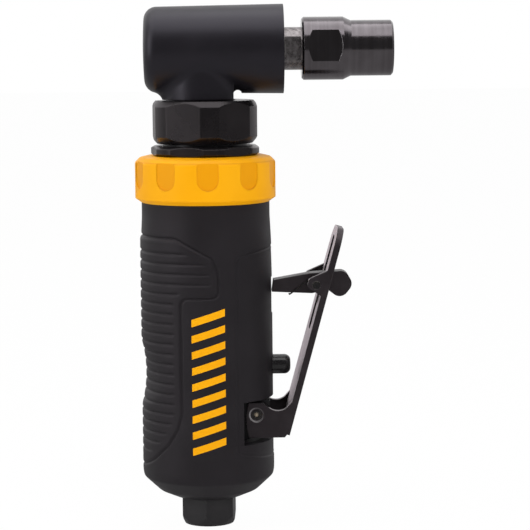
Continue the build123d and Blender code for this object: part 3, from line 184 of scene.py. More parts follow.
# fine rings left by turning, running round the spindle's axis
ringSpan = {"tone": (0.3, 0.7)}
ringGroup, groupIn, groupOut = newGroup(
    "turnedRings",
    {"Pitch": 0.00025},
    {"Height": "NodeSocketFloat", "Tone": "NodeSocketFloat"},
)
along = addMath(ringGroup, "DIVIDE", splitPlace(ringGroup)["X"], groupIn.outputs["Pitch"])
ringNoise = addNode(ringGroup, "ShaderNodeTexNoise", noise_dimensions="1D", Scale=1.0, Detail=3.0)
wideNoise = addNode(ringGroup, "ShaderNodeTexNoise", noise_dimensions="1D", Scale=0.12, Detail=2.0)
for noise in (ringNoise, wideNoise):
    ringGroup.links.new(along, noise.inputs["W"])
wideTone = addRange(ringGroup, wideNoise.outputs[0], *ringSpan["tone"], 0, 1)
ringGroup.links.new(ringNoise.outputs[0], groupOut.inputs["Height"])
ringGroup.links.new(wideTone, groupOut.inputs["Tone"])
print("shared node groups built")


# a painted highlight: a pale ring at the rim of the lever pin's sink, brighter on its lit side
def paintedRimHighlight(tree, ring):
    split = splitPlace(tree)
    across = addMath(tree, "SUBTRACT", split["X"], ring["x"])
    up = addMath(tree, "SUBTRACT", split["Z"], ring["z"])
    off = addMath(tree, "SUBTRACT", addLength(tree, across, up), ring["radius"])
    band = addRange(tree, addMath(tree, "ABSOLUTE", off), *ring["fade"], 0, ring["weight"])
    litX, litZ = [addMath(tree, "MULTIPLY", *pair) for pair in zip((across, up), ring["litWay"])]
    lit = addMath(tree, "ADD", litX, litZ)
    shade = addRange(tree, lit, -ring["radius"], ring["radius"], ring["shadedSideLevel"], 1)
    return addMath(tree, "MULTIPLY", band, shade)


# painted shade on the collar's pocket floors, which lie nearer its axis than the rest
def paintedPocketShade(tree, pockets):
    split = splitPlace(tree)
    low, high = pockets["heights"]
    sunk = addRange(tree, addLength(tree, split["X"], split["Y"]), *pockets["radii"], 0, 1)
    above = addMath(tree, "GREATER_THAN", split["Z"], low)
    below = addMath(tree, "LESS_THAN", split["Z"], high)
    return addMath(tree, "MULTIPLY", sunk, addMath(tree, "MULTIPLY", above, below))


# plain face normals round the pole of a turned end
def flatSpot(tree, spot, normal):
    place = addNode(tree, "ShaderNodeTexCoord")
    away = addNode(tree, "ShaderNodeVectorMath", operation="DISTANCE")
    away.inputs[1].default_value = spot["place"]
    tree.links.new(place.outputs["Object"], away.inputs[0])
    inside = addMath(tree, "LESS_THAN", away.outputs["Value"], spot["radius"])
    surface = addNode(tree, "ShaderNodeNewGeometry")
    mixer = addNode(tree, "ShaderNodeMix", data_type="VECTOR")
    # inputs 4 and 5 are the two vectors, and output 1 their mix
    tree.links.new(inside, mixer.inputs[0])
    tree.links.new(normal, mixer.inputs[4])
    tree.links.new(surface.outputs["True Normal"], mixer.inputs[5])
    return mixer.outputs[1]


def makeFinish(name, look):
    material = bpy.data.materials.new(name)
    material.use_nodes = True
    tree = material.node_tree
    shader = tree.nodes["Principled BSDF"]
    shader.inputs["Metallic"].default_value = look["metallic"]
    shader.inputs["Specular IOR Level"].default_value = look["specular"]
    if "specularTint" in look:
        shader.inputs["Specular Tint"].default_value = (*look["specularTint"], 1)
    grain = placeGroup(tree, grainGroup, Scale=look["grainScale"], Patch=look["patchScale"])
    edges = placeGroup(tree, edgeGroup, Radius=look["edgeRadius"])
    height = grain.outputs["Height"]
    tone = grain.outputs["Tone"]
    if "ringPitch" in look:
        rings = placeGroup(tree, ringGroup, Pitch=look["ringPitch"])
        height = rings.outputs["Height"]
        bothTones = addMath(tree, "ADD", tone, rings.outputs["Tone"])
        tone = addMath(tree, "MULTIPLY", bothTones, 0.5)  # their mean
    colour = addMix(tree, tone, look["base"], look["second"])
    worn = addMath(tree, "MULTIPLY", edges.outputs["Edge"], look["wear"])
    colour = addMix(tree, worn, colour, look["wornColour"])
    # painted shade: the collar's pocket floors are made darker
    if "pockets" in look:
        colour = addMix(tree, paintedPocketShade(tree, look["pockets"]), colour, look["pockets"]["colour"])
    # painted sheen: faces turned one way take a pale metal colour that stands in for a reflection
    if "paintedSheenSide" in look:
        sheen = look["paintedSheenSide"]
        onSide = addRange(tree, splitPlace(tree, "Normal")["X"], *sheen["turn"], 0, 1)
        colour = addMix(tree, onSide, colour, addMix(tree, tone, sheen["base"], sheen["second"]))
        metal = addRange(tree, onSide, 0, 1, look["metallic"], sheen["metallic"])
        tree.links.new(metal, shader.inputs["Metallic"])
    # painted highlight: a pale ring round the lever's pin, brighter on its lit side
    if "ring" in look:
        colour = addMix(tree, paintedRimHighlight(tree, look["ring"]), colour, look["ring"]["colour"])
    tree.links.new(colour, shader.inputs["Base Color"])
    tree.links.new(addRange(tree, tone, 0, 1, *look["roughness"]), shader.inputs["Roughness"])
    normal = edges.outputs["Normal"]
    if "flatSpot" in look:
        normal = flatSpot(tree, look["flatSpot"], normal)
    bump = addNode(
        tree, "ShaderNodeBump", Strength=look["grainStrength"], Distance=look["grainDepth"]
    )
    tree.links.new(height, bump.inputs["Height"])
    tree.links.new(normal, bump.inputs["Normal"])
    tree.links.new(bump.outputs[0], shader.inputs["Normal"])
    return material


dressedNodes = {"grip_sleeve"}  # hidden, its skin below stands for it


def dress(material, *names):
    for name in names:
        mesh = nodes[name].data
        mesh.materials.clear()
        mesh.materials.append(material)
    dressedNodes.update(names)


# pieces made here are written in millimetres
metre = 1000


def addPiece(name, mesh, material):
    mesh.polygons.foreach_set("use_smooth", [True] * len(mesh.polygons))
    mesh.materials.clear()
    mesh.materials.append(material)
    piece = bpy.data.objects.new(name, mesh)
    scene.collection.objects.link(piece)
    return piece


def meshPiece(name, points, faces, material):
    mesh = bpy.data.meshes.new(name)
    mesh.from_pydata([(x / metre, y / metre, z / metre) for x, y, z in points], [], faces)
    return addPiece(name, mesh, material)


def bendThrough(start, corner, end, steps):
    shares = [step / (steps - 1) for step in range(steps)]
    return [
        (1 - share) ** 2 * start + 2 * share * (1 - share) * corner + share**2 * end for share in shares
    ]


# rubber grip
gripRubber = {
    "base": (0.0112, 0.0098, 0.0112),
    "second": (0.0145, 0.0128, 0.0145),
    "wornColour": (0.04, 0.037, 0.04),
    "wear": 0.3,
    "metallic": 0.0,
    "specular": 0.34,
    "specularTint": (0.98, 0.9, 0.98),
    "roughness": (0.5, 0.6),
    "grainScale": 5200.0,
    "grainStrength": 0.25,
    "grainDepth": 0.00006,
    "patchScale": 55.0,
    "edgeRadius": 0.0002,
}
gripMaterial = makeFinish("gripRubber", gripRubber)

# grip sleeve: one dense skin with soft ribs, palm hollow, panel grooves and openings
gripShape = {
    "foot": ((10.1, 10.5), (10.1, 8.8), (15.6, 11.2), (20.5, 15.8), (20.8, 17.8)),
    "radius": 20.8,
    "topRadius": 20.05,
    "taper": (72.0, 98.0),
    "taperSteps": 14,
    "top": 102.4,
    "innerRadius": 17.45,
    "rowStep": 0.21,
    "cornerBlur": 2.2,
    "blurReach": 8,
    "columnsOnWindow": 150,
    "columnsElsewhere": 330,
    "ribPitch": 3.12,
    "ribFirst": 22.0,
    "ribDepth": 0.42,
    "ribSharpness": 5.0,
    "ribFade": (1.8, 3.4),
    "panelLift": 0.6,
    "panelLiftFade": (0.0, 1.4),
    "hollowHeight": 49.0,
    "hollowHalf": 10.5,
    "hollowDepth": 1.4,
    "hollowOffset": 4.0,
    "hollowBlend": 0.25,
    "grooveDepth": 0.5,
    "grooveWidth": 0.34,
    "panelCorner": {"radius": 2.6, "shareOfRun": 0.45, "steps": 7},
    "ribPanel": (
        (-21.4, 92.3), (-9.57, 92.2), (2.08, 85.9), (3.68, 81.5), (3.68, 73.9), (-8.05, 73.8),
        (-8.05, 37.5), (-9.36, 33.0), (-12.48, 27.7), (-17.06, 22.6), (-21.4, 19.2),
    ),
    "leverPanel": ((21.4, 88.5), (9.36, 86.3), (9.15, 25.3), (21.4, 22.2)),
    "leverPanelSink": 0.16,
    "leverPanelFade": (0.0, 1.2),
    "leverPanelGroove": 0.26,
    "window": (11.2, 27.5, 41.0),
    "stemHole": {"height": 50.45, "radius": 3.4, "rimSink": 0.12, "steps": 48},
    "lockSeat": {"heights": (67.0, 78.5), "half": 3.6, "floor": 19.3},
}


def smoothStep(low, high, value):
    share = np.clip((value - low) / (high - low), 0, 1)
    return share * share * (3 - 2 * share)


def roundCorners(points, rounding):
    points = np.array(points)
    line = [points[0]]
    for before, corner, after in zip(points, points[1:], points[2:]):
        runs = [np.hypot(*(side - corner)) for side in (before, after)]
        toBefore = (before - corner) / runs[0]
        toAfter = (after - corner) / runs[1]
        half = math.acos(np.clip(toBefore @ toAfter, -1, 1)) / 2
        reach = min(rounding["radius"] / math.tan(half), rounding["shareOfRun"] * min(runs))
        start, end = corner + toBefore * reach, corner + toAfter * reach
        line.extend(bendThrough(start, corner, end, rounding["steps"]))
    line.append(points[-1])
    return np.array(line)


def lineDistance(across, up, line):
    nearest = np.full(across.shape, np.inf)
    for (x0, z0), (x1, z1) in zip(line, line[1:]):
        dx, dz = x1 - x0, z1 - z0
        share = np.clip(((across - x0) * dx + (up - z0) * dz) / (dx * dx + dz * dz), 0, 1)
        nearest = np.minimum(nearest, np.hypot(across - x0 - share * dx, up - z0 - share * dz))
    return nearest


def nearestRow(rows, height):
    return int(np.argmin(np.abs(rows[:, 1] - height)))


# radius and height of each row, with the profile's corners blurred
def gripRows(shape):
    low, high = shape["taper"]
    points = list(shape["foot"])
    for height in np.linspace(low, high, shape["taperSteps"]):
        sink = (shape["radius"] - shape["topRadius"]) * ((height - low) / (high - low)) ** 2
        points.append((shape["radius"] - sink, height))
    points.append((shape["topRadius"], shape["top"]))
    points = np.array(points)
    run = np.concatenate(([0], np.cumsum(np.hypot(*np.diff(points, axis=0).T))))
    steps = np.linspace(0, run[-1], int(run[-1] / shape["rowStep"]))
    rows = np.stack([np.interp(steps, run, side) for side in points.T], 1)
    reach = shape["blurReach"]
    weights = np.exp(-0.5 * (np.arange(-reach, reach + 1) / shape["cornerBlur"]) ** 2)
    weights /= weights.sum()
    padded = np.pad(rows, ((reach, reach), (0, 0)), mode="edge")
    soft = np.stack([np.convolve(side, weights, mode="valid") for side in padded.T], 1)
    soft[0], soft[-1] = rows[0], rows[-1]
    for height in shape["window"][1:]:
        soft[nearestRow(soft, height), 1] = height
    return soft


def skinRadius(shape, radius, angle, height):
    across = radius * np.cos(angle)
    pastGrip = 99.0  # a panel's edge, where there is no panel at that height
    panel = roundCorners(shape["ribPanel"], shape["panelCorner"])
    panelGap = lineDistance(across, height, panel)
    panelEdge = np.interp(height, panel[::-1, 1], panel[::-1, 0], left=-pastGrip, right=-pastGrip)
    inPanel = np.where(across < panelEdge, 1.0, 0.0)
    low, high = shape["taper"]
    rise = np.clip((height - low) / (high - low), 0, 1) ** 2
    lift = shape["panelLift"] * smoothStep(*shape["panelLiftFade"], panelGap)
    radius = radius + inPanel * lift * rise
    # palm hollow, a ring about an axis set towards the lever
    offset, depth = shape["hollowOffset"], shape["hollowDepth"]
    climb = (height - shape["hollowHeight"]) / shape["hollowHalf"]
    ring = shape["radius"] + offset - depth + depth * climb**2
    hollow = offset * np.cos(angle) + np.sqrt(ring**2 - (offset * np.sin(angle)) ** 2)
    blend = shape["hollowBlend"]
    share = np.clip(0.5 + 0.5 * (hollow - radius) / blend, 0, 1)
    radius = hollow * (1 - share) + radius * share - blend * share * (1 - share)
    # ribs, which fade out before the panel's groove
    wave = 0.5 + 0.5 * np.cos(2 * np.pi * (height - shape["ribFirst"]) / shape["ribPitch"])
    ribs = shape["ribDepth"] * wave ** shape["ribSharpness"]
    ribs = ribs * inPanel * smoothStep(*shape["ribFade"], panelGap)
    groove = shape["grooveDepth"] * np.exp(-((panelGap / shape["grooveWidth"]) ** 2))
    # sunk panel behind the lever, with its own groove
    lever = roundCorners(shape["leverPanel"], shape["panelCorner"])
    leverGap = lineDistance(across, height, lever)
    leverEdge = np.interp(height, lever[::-1, 1], lever[::-1, 0], left=pastGrip, right=pastGrip)
    inLever = np.where(across > leverEdge, 1.0, 0.0)
    sink = shape["leverPanelSink"] * inLever * smoothStep(*shape["leverPanelFade"], leverGap)
    sink = sink + shape["leverPanelGroove"] * np.exp(-((leverGap / shape["grooveWidth"]) ** 2))
    radius = radius - ribs - groove - sink
    # flat seat for the lock's tail
    seat = shape["lockSeat"]
    seatLow, seatHigh = seat["heights"]
    inSeat = (np.cos(angle) > 0) & (np.abs(radius * np.sin(angle)) < seat["half"])
    inSeat &= (height > seatLow) & (height < seatHigh)
    seatRadius = seat["floor"] / np.where(inSeat, np.cos(angle), 1)
    return np.where(inSeat, np.minimum(radius, seatRadius), radius)


def gridQuads(rowCount, columnCount):
    row = np.arange(rowCount - 1)[:, None] * columnCount
    column = np.arange(columnCount)[None, :]
    after = (column + 1) % columnCount
    corners = (row + column, row + after, row + columnCount + after, row + columnCount + column)
    return np.stack(corners, -1)


def buildGrip(shape):
    rows = gripRows(shape)
    windowX, windowLow, windowHigh = shape["window"]
    windowColumns = shape["columnsOnWindow"]
    windowAngle = math.acos(windowX / shape["radius"])
    nearSide = np.linspace(-windowAngle, windowAngle, windowColumns)
    farSide = np.linspace(windowAngle, 2 * math.pi - windowAngle, shape["columnsElsewhere"])[1:-1]
    angles = np.concatenate((nearSide, farSide))
    rowCount, columnCount = len(rows), len(angles)
    angle = np.broadcast_to(angles, (rowCount, columnCount))
    height = np.broadcast_to(rows[:, 1:2], angle.shape)
    radius = skinRadius(shape, np.broadcast_to(rows[:, 0:1], angle.shape), angle, height)
    points = np.stack((radius * np.cos(angle), radius * np.sin(angle), height), -1).reshape(-1, 3)
    quads = gridQuads(rowCount, columnCount)
    kept = np.ones(quads.shape[:2], bool)
    # opening for the lever's ears
    lowRow = nearestRow(rows, windowLow)
    highRow = nearestRow(rows, windowHigh)
    kept[lowRow:highRow, : windowColumns - 1] = False
    # opening for the valve stem, with the points inside it drawn out to its rim
    hole = shape["stemHole"]
    fromHole = np.hypot(points[:, 1], points[:, 2] - hole["height"])
    inHole = (points[:, 0] > 0) & (fromHole < hole["radius"])
    kept &= ~inHole[quads].all(-1)
    stretch = hole["radius"] / np.maximum(fromHole[inHole], 0.01)  # never a division by zero
    points[inHole, 1] *= stretch
    points[inHole, 2] = hole["height"] + (points[inHole, 2] - hole["height"]) * stretch
    faces = quads[kept].tolist()
    points = points.tolist()

    def addWall(outerPoints, innerPoints, closed=False):
        start, count = len(points), len(outerPoints)
        points.extend(outerPoints)
        points.extend(innerPoints)
        for step in range(count if closed else count - 1):
            after = (step + 1) % count
            faces.append((start + step, start + after, start + count + after, start + count + step))

    # walls of the window
    inner = shape["innerRadius"]
    innerAngle = math.acos(windowX / inner)
    innerSide = nearSide * innerAngle / windowAngle
    for row, level in ((lowRow, windowLow), (highRow, windowHigh)):
        outer = [points[row * columnCount + column] for column in range(windowColumns)]
        addWall(outer, [(inner * math.cos(turn), inner * math.sin(turn), level) for turn in innerSide])
    windowRows = range(lowRow, highRow + 1)
    for column, side in ((0, -1), (windowColumns - 1, 1)):
        outer = [points[row * columnCount + column] for row in windowRows]
        innerY = side * inner * math.sin(innerAngle)
        addWall(outer, [(windowX, innerY, rows[row, 1]) for row in windowRows])
    # wall of the stem's hole
    rim, bore = [], []
    for step in range(hole["steps"]):
        turn = 2 * math.pi * step / hole["steps"]
        y = hole["radius"] * math.cos(turn)
        z = hole["height"] + hole["radius"] * math.sin(turn)
        rim.append((math.sqrt((shape["radius"] - hole["rimSink"]) ** 2 - y * y), y, z))
        bore.append((math.sqrt(inner**2 - y * y), y, z))
    addWall(rim, bore, closed=True)
    # lip at the top
    topRow = (rowCount - 1) * columnCount
    lip = [(inner * math.cos(turn), inner * math.sin(turn), shape["top"]) for turn in angles]
    addWall(points[topRow : topRow + columnCount], lip, closed=True)
    return meshPiece("gripSkin", points, faces, gripMaterial)


gripSkinPiece = buildGrip(gripShape)
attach(gripSkinPiece, "housing")
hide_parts("grip_sleeve")
print("grip skin built:", len(gripSkinPiece.data.polygons), "faces")

# collar, amber plastic
collarPlastic = {
    "base": (0.95, 0.41, 0.0015),
    "second": (0.99, 0.445, 0.003),
    "wornColour": (0.98, 0.48, 0.015),
    "wear": 0.3,
    "metallic": 0.0,
    "specular": 0.12,
    "roughness": (0.42, 0.5),
    "grainScale": 3600.0,
    "grainStrength": 0.12,
    "grainDepth": 0.00005,
    "patchScale": 45.0,
    "edgeRadius": 0.0006,
    # painted shade: the recessed pocket floors take a darker amber
    "pockets": {
        "radii": (0.02195, 0.02165),
        "heights": (0.1055, 0.1154),
        "colour": (0.86, 0.35, 0.0015),
    },
}
collarMaterial = makeFinish("collarPlastic", collarPlastic)
dress(collarMaterial, "collar_ring")

# printed dashes on the grip's front panel
dashPrint = {
    "centreX": 0.4,
    "width": 10.4,
    "tall": 2.3,
    "slant": 0.32,
    "pitch": 5.0,
    "first": 28.0,
    "count": 9,
    "radius": 20.83,
    "columns": 14,
}


def buildDashes(marks):
    points, faces = [], []
    columns, radius = marks["columns"], marks["radius"]
    for dash in range(marks["count"]):
        start = len(points)
        for column in range(columns + 1):
            across = marks["width"] * (column / columns - 0.5)
            turn = -math.pi / 2 + (marks["centreX"] + across) / radius
            middle = marks["first"] + dash * marks["pitch"] + marks["slant"] * across
            for edge in (-0.5, 0.5):
                height = middle + edge * marks["tall"]
                points.append((radius * math.cos(turn), radius * math.sin(turn), height))
        for column in range(columns):
            here = start + 2 * column
            faces.append((here, here + 2, here + 3, here + 1))
    return meshPiece("gripDashes", points, faces, collarMaterial)


dashes = buildDashes(dashPrint)
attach(dashes, "housing")
print("collar and print dressed")

# angle head, satin black coat
headCoat = {
    "base": (0.0068, 0.0058, 0.0076),
    "second": (0.0092, 0.008, 0.0102),
    "wornColour": (0.035, 0.034, 0.036),
    "wear": 0.4,
    "metallic": 0.0,
    "specular": 0.46,
    "specularTint": (0.9, 0.86, 1.0),
    "roughness": (0.38, 0.45),
    "grainScale": 2600.0,
    "grainStrength": 0.14,
    "grainDepth": 0.00008,
    "patchScale": 60.0,
    "edgeRadius": 0.0005,
    "flatSpot": {"place": (-0.0189, 0.0, 0.1498), "radius": 0.0025},
}
dress(makeFinish("headCoat", headCoat), "angle_head")

# union nut, jam nut and cap, black oxide
blackOxide = {
    "base": (0.0055, 0.0047, 0.0054),
    "second": (0.0088, 0.0075, 0.0084),
    "wornColour": (0.1, 0.095, 0.095),
    "wear": 0.5,
    "metallic": 0.2,
    "specular": 0.55,
    "specularTint": (1.0, 0.9, 0.94),
    "roughness": (0.26, 0.34),
    "grainScale": 1800.0,
    "grainStrength": 0.05,
    "grainDepth": 0.00008,
    "patchScale": 90.0,
    "edgeRadius": 0.0004,
}
dress(makeFinish("blackOxide", blackOxide), "clamp_nut", "jam_nut", "bearing_cap")

# inlet bushing, dull phosphate black
inletBlack = {
    "base": (0.02, 0.0185, 0.0205),
    "second": (0.03, 0.028, 0.03),
    "wornColour": (0.09, 0.088, 0.09),
    "wear": 0.7,
    "metallic": 0.1,
    "specular": 0.4,
    "roughness": (0.48, 0.6),
    "grainScale": 2400.0,
    "grainStrength": 0.2,
    "grainDepth": 0.0001,
    "patchScale": 160.0,
    "edgeRadius": 0.0004,
}
dress(makeFinish("inletBlack", inletBlack), "inlet_bushing")

# throttle lever, coated sheet steel
leverSteel = {
    "base": (0.0165, 0.0138, 0.0152),
    "second": (0.0235, 0.02, 0.022),
    "wornColour": (0.1, 0.096, 0.098),
    "wear": 0.5,
    "metallic": 0.3,
    "specular": 0.55,
    "specularTint": (1.0, 0.86, 0.93),
    "roughness": (0.3, 0.46),
    "grainScale": 1500.0,
    "grainStrength": 0.18,
    "grainDepth": 0.00012,
    "patchScale": 230.0,
    "edgeRadius": 0.0004,
    # painted sheen: the strap's inner face, turned towards -X, is made pale grey metal to stand in for
    # the white it reflects
    "paintedSheenSide": {
        "turn": (-0.6, -0.85),
        "base": (0.52, 0.505, 0.51),
        "second": (0.72, 0.7, 0.71),
        "metallic": 0.8,
    },
    # painted highlight round the pin's sink, with painted shade on its far side
    "ring": {
        "x": 0.0151,
        "z": 0.0361,
        "radius": 0.00212,
        "fade": (0.0003, 0.00015),
        "weight": 0.9,
        "litWay": (-0.7, -0.7),
        "shadedSideLevel": 0.22,
        "colour": (0.36, 0.345, 0.35),
    },
}
dress(makeFinish("leverSteel", leverSteel), "throttle_lever")

# safety lock, satin black
lockBlack = {
    "base": (0.0145, 0.0118, 0.0132),
    "second": (0.02, 0.0168, 0.0185),
    "wornColour": (0.07, 0.067, 0.069),
    "wear": 0.5,
    "metallic": 0.0,
    "specular": 0.45,
    "specularTint": (1.0, 0.88, 0.94),
    "roughness": (0.38, 0.5),
    "grainScale": 3000.0,
    "grainStrength": 0.16,
    "grainDepth": 0.00006,
    "patchScale": 150.0,
    "edgeRadius": 0.0004,
}
dress(makeFinish("lockBlack", lockBlack), "lock_lever")

# pins and the lock's spring, dark steel
darkPin = {
    "base": (0.03, 0.029, 0.03),
    "second": (0.06, 0.055, 0.05),
    "wornColour": (0.25, 0.23, 0.2),
    "wear": 0.6,
    "metallic": 0.8,
    "specular": 0.5,
    "roughness": (0.25, 0.4),
    "grainScale": 2500.0,
    "grainStrength": 0.1,
    "grainDepth": 0.00005,
    "patchScale": 300.0,
    "edgeRadius": 0.0003,
}
pinMaterial = makeFinish("darkPin", darkPin)
dress(pinMaterial, "lock_pin", "lock_spring", "lever_pin")

# safety lock's spring: the coil rests on the lever and the hook swings with the lock
lockSpring = {
    "pin": (34.1, 76.7),
    "wire": 0.23,
    "roundness": 3,
    "coilRadius": 1.9,
    "pitch": 0.62,
    "turns": 2,
    "strapLean": 15.4,
    "strapLeg": 6.0,
    "hook": (-8.1, -3.8),
    "hookEnd": 0.3,
    "hookBend": 0.8,
    "bendSteps": 7,
    "legSide": 3.25,
    "stepsPerTurn": 36,
}


def springPaths(spring):
    pinX, pinZ = spring["pin"]
    hookX, hookZ = spring["hook"]
    radius, side = spring["coilRadius"], spring["legSide"]
    fullTurn = 2 * math.pi
    start = math.atan2(hookZ, hookX) - math.acos(radius / math.hypot(hookX, hookZ))
    lean = math.radians(spring["strapLean"])
    sweep = start % fullTurn + lean + fullTurn * spring["turns"]

    def onCoil(turned):
        angle = start - turned
        out = side + spring["pitch"] * turned / fullTurn
        return Vector((pinX + radius * math.cos(angle), -out, pinZ + radius * math.sin(angle)))

    def coilRun(low, high):
        steps = int(spring["stepsPerTurn"] * (high - low) / fullTurn)
        return [onCoil(low + (high - low) * step / steps) for step in range(steps + 1)]

    corner = Vector((pinX + hookX, -side, pinZ + hookZ))
    bendStart = corner + Vector((0, spring["hookBend"], 0))
    bendEnd = corner + (onCoil(0) - corner).normalized() * spring["hookBend"]
    bend = bendThrough(bendStart, corner, bendEnd, spring["bendSteps"])
    hookPath = [Vector((corner.x, -spring["hookEnd"], corner.z)), *bend, *coilRun(0, fullTurn)]
    legWay = Vector((-math.sin(lean), 0, -math.cos(lean)))
    coilPath = coilRun(fullTurn, sweep)
    return hookPath, coilPath + [coilPath[-1] + legWay * spring["strapLeg"]]


def bendWire(name, path, spring):
    curve = bpy.data.curves.new(name, "CURVE")
    curve.dimensions = "3D"
    curve.bevel_depth = spring["wire"] / metre
    curve.bevel_resolution = spring["roundness"]
    curve.use_fill_caps = True
    line = curve.splines.new("POLY")
    line.points.add(len(path) - 1)
    for point, place in zip(line.points, path):
        point.co = (*(place / metre), 1)
    former = bpy.data.objects.new(name + "Former", curve)
    mesh = bpy.data.meshes.new_from_object(former)
    mesh.name = name
    bpy.data.objects.remove(former)
    return addPiece(name, mesh, pinMaterial)


hookPath, coilPath = springPaths(lockSpring)
springHook = bendWire("lockSpringHook", hookPath, lockSpring)
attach(springHook, "lock")
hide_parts("lock_spring")
springCoil = bendWire("lockSpringCoil", coilPath, lockSpring)
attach(springCoil, "lever")
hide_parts("lock_spring")
print("lock spring wound:", len(hookPath) + len(coilPath), "points")

# core of the lever pin, bare straw-coloured steel with domed ends
strawPin = {
    "base": (0.2, 0.175, 0.14),
    "second": (0.4, 0.33, 0.24),
    "wornColour": (0.5, 0.42, 0.3),
    "wear": 0.5,
    "metallic": 0.35,
    "specular": 0.5,
    "roughness": (0.28, 0.4),
    "grainScale": 2500.0,
    "grainStrength": 0.15,
    "grainDepth": 0.00005,
    "patchScale": 500.0,
    "edgeRadius": 0.0003,
}
pinCore = {
    "x": 15.1,
    "z": 36.1,
    "radius": 0.77,
    "halfLength": 10.9,
    "dome": 0.4,
    "sides": 24,
    "rings": 6,
}


def buildPinCore(core):
    points, faces, profile = [], [], []
    sides = core["sides"]
    for ring in range(1, core["rings"] + 1):
        turn = math.pi / 2 * ring / core["rings"]
        reach = core["halfLength"] - core["dome"] * (1 - math.cos(turn))
        profile.append((core["radius"] * math.sin(turn), reach))
    profile += [(radius, -reach) for radius, reach in reversed(profile)]
    for radius, reach in profile:
        for side in range(sides):
            turn = 2 * math.pi * side / sides
            x = core["x"] + radius * math.cos(turn)
            z = core["z"] + radius * math.sin(turn)
            points.append((x, reach, z))
    for ring in range(len(profile) - 1):
        for side in range(sides):
            here = ring * sides + side
            after = ring * sides + (side + 1) % sides
            faces.append((here, here + sides, after + sides, after))
    lastRing = (len(profile) - 1) * sides
    faces.append(tuple(range(sides)))
    faces.append(tuple(lastRing + side for side in reversed(range(sides))))
    return meshPiece("leverPinCore", points, faces, makeFinish("strawPin", strawPin))


pinCorePiece = buildPinCore(pinCore)
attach(pinCorePiece, "housing")

# valve stem, glossy black
stemBlack = {
    "base": (0.011, 0.01, 0.011),
    "second": (0.016, 0.015, 0.016),
    "wornColour": (0.06, 0.058, 0.06),
    "wear": 0.4,
    "metallic": 0.0,
    "specular": 0.5,
    "roughness": (0.18, 0.26),
    "grainScale": 2500.0,
    "grainStrength": 0.08,
    "grainDepth": 0.00004,
    "patchScale": 200.0,
    "edgeRadius": 0.0003,
}
dress(makeFinish("stemBlack", stemBlack), "valve_stem")
print("head, nuts, inlet and lever dressed")

# collet nut, polished dark nickel with turning rings
darkNickel = {
    "base": (0.12, 0.108, 0.115),
    "second": (0.165, 0.15, 0.16),
    "wornColour": (0.5, 0.49, 0.5),
    "wear": 0.5,
    "metallic": 1.0,
    "specular": 0.5,
    "roughness": (0.14, 0.21),
    "grainScale": 2000.0,
    "grainStrength": 0.12,
    "grainDepth": 0.00003,
    "patchScale": 120.0,
    "edgeRadius": 0.0002,
    "ringPitch": 0.00022,
}
dress(makeFinish("darkNickel", darkNickel), "collet_nut")

# spindle and collet, mottled grey steel
greySteel = {
    "base": (0.15, 0.135, 0.138),
    "second": (0.32, 0.295, 0.3),
    "wornColour": (0.6, 0.58, 0.56),
    "wear": 0.5,
    "metallic": 0.9,
    "specular": 0.5,
    "roughness": (0.27, 0.38),
    "grainScale": 1600.0,
    "grainStrength": 0.2,
    "grainDepth": 0.0001,
    "patchScale": 700.0,
    "edgeRadius": 0.0003,
}
dress(makeFinish("greySteel", greySteel), "spindle", "collet")

# pieces inside: machined steel, alloy, iron, brass, rubber, composite and felt,
# each with its two tones, metallic, roughness, grain depth and grain scale
innerLooks = {
    "bearingSteel": ((0.45, 0.45, 0.46), (0.55, 0.55, 0.56), 1.0, (0.18, 0.28), 0.00004, 1500.0),
    "shadeBlackAlloy": ((0.02, 0.019, 0.021), (0.03, 0.029, 0.031), 0.6, (0.35, 0.45), 0.00005, 1800.0),
    "motorIron": ((0.16, 0.155, 0.15), (0.22, 0.215, 0.21), 0.9, (0.38, 0.5), 0.00008, 1200.0),
    "guideBrass": ((0.55, 0.38, 0.13), (0.64, 0.46, 0.18), 1.0, (0.24, 0.36), 0.00004, 1500.0),
    "sealRubber": ((0.013, 0.013, 0.013), (0.02, 0.02, 0.02), 0.0, (0.5, 0.65), 0.00005, 3000.0),
    "vaneComposite": ((0.1, 0.07, 0.045), (0.14, 0.1, 0.07), 0.0, (0.5, 0.62), 0.00006, 2400.0),
    "mufflerFelt": ((0.2, 0.2, 0.19), (0.32, 0.31, 0.3), 0.0, (0.85, 0.95), 0.0003, 2200.0),
}
innerNodes = {
    # painted shade: the motor housing is black so the grip's window round the lever's ears reads as
    # shade; the nose piece shares this finish
    "shadeBlackAlloy": ("motor_housing", "nose_piece"),
    "motorIron": ("rear_end_plate", "front_end_plate", "motor_cylinder"),
    "guideBrass": ("valve_guide",),
    "sealRubber": ("spindle_seal", "inlet_o_ring", "valve_poppet", "stem_o_ring"),
    "vaneComposite": ("rotor_vanes", "valve_seat"),
    "mufflerFelt": ("exhaust_muffler",),
}
named = {name for names in innerNodes.values() for name in names}
innerNodes["bearingSteel"] = tuple(sorted(set(nodes) - named - dressedNodes))
innerShared = {
    "wear": 0.4,
    "specular": 0.5,
    "grainStrength": 0.2,
    "patchScale": 140.0,
    "edgeRadius": 0.0002,
}
wornBrighter = 1.4
for look, names in innerNodes.items():
    base, second, metallic, roughness, grainDepth, grainScale = innerLooks[look]
    finish = {
        **innerShared,
        "base": base,
        "second": second,
        "wornColour": tuple(min(1.0, channel * wornBrighter) for channel in second),
        "metallic": metallic,
        "roughness": roughness,
        "grainScale": grainScale,
        "grainDepth": grainDepth,
    }
    dress(makeFinish(look, finish), *names)
print("inner pieces dressed")

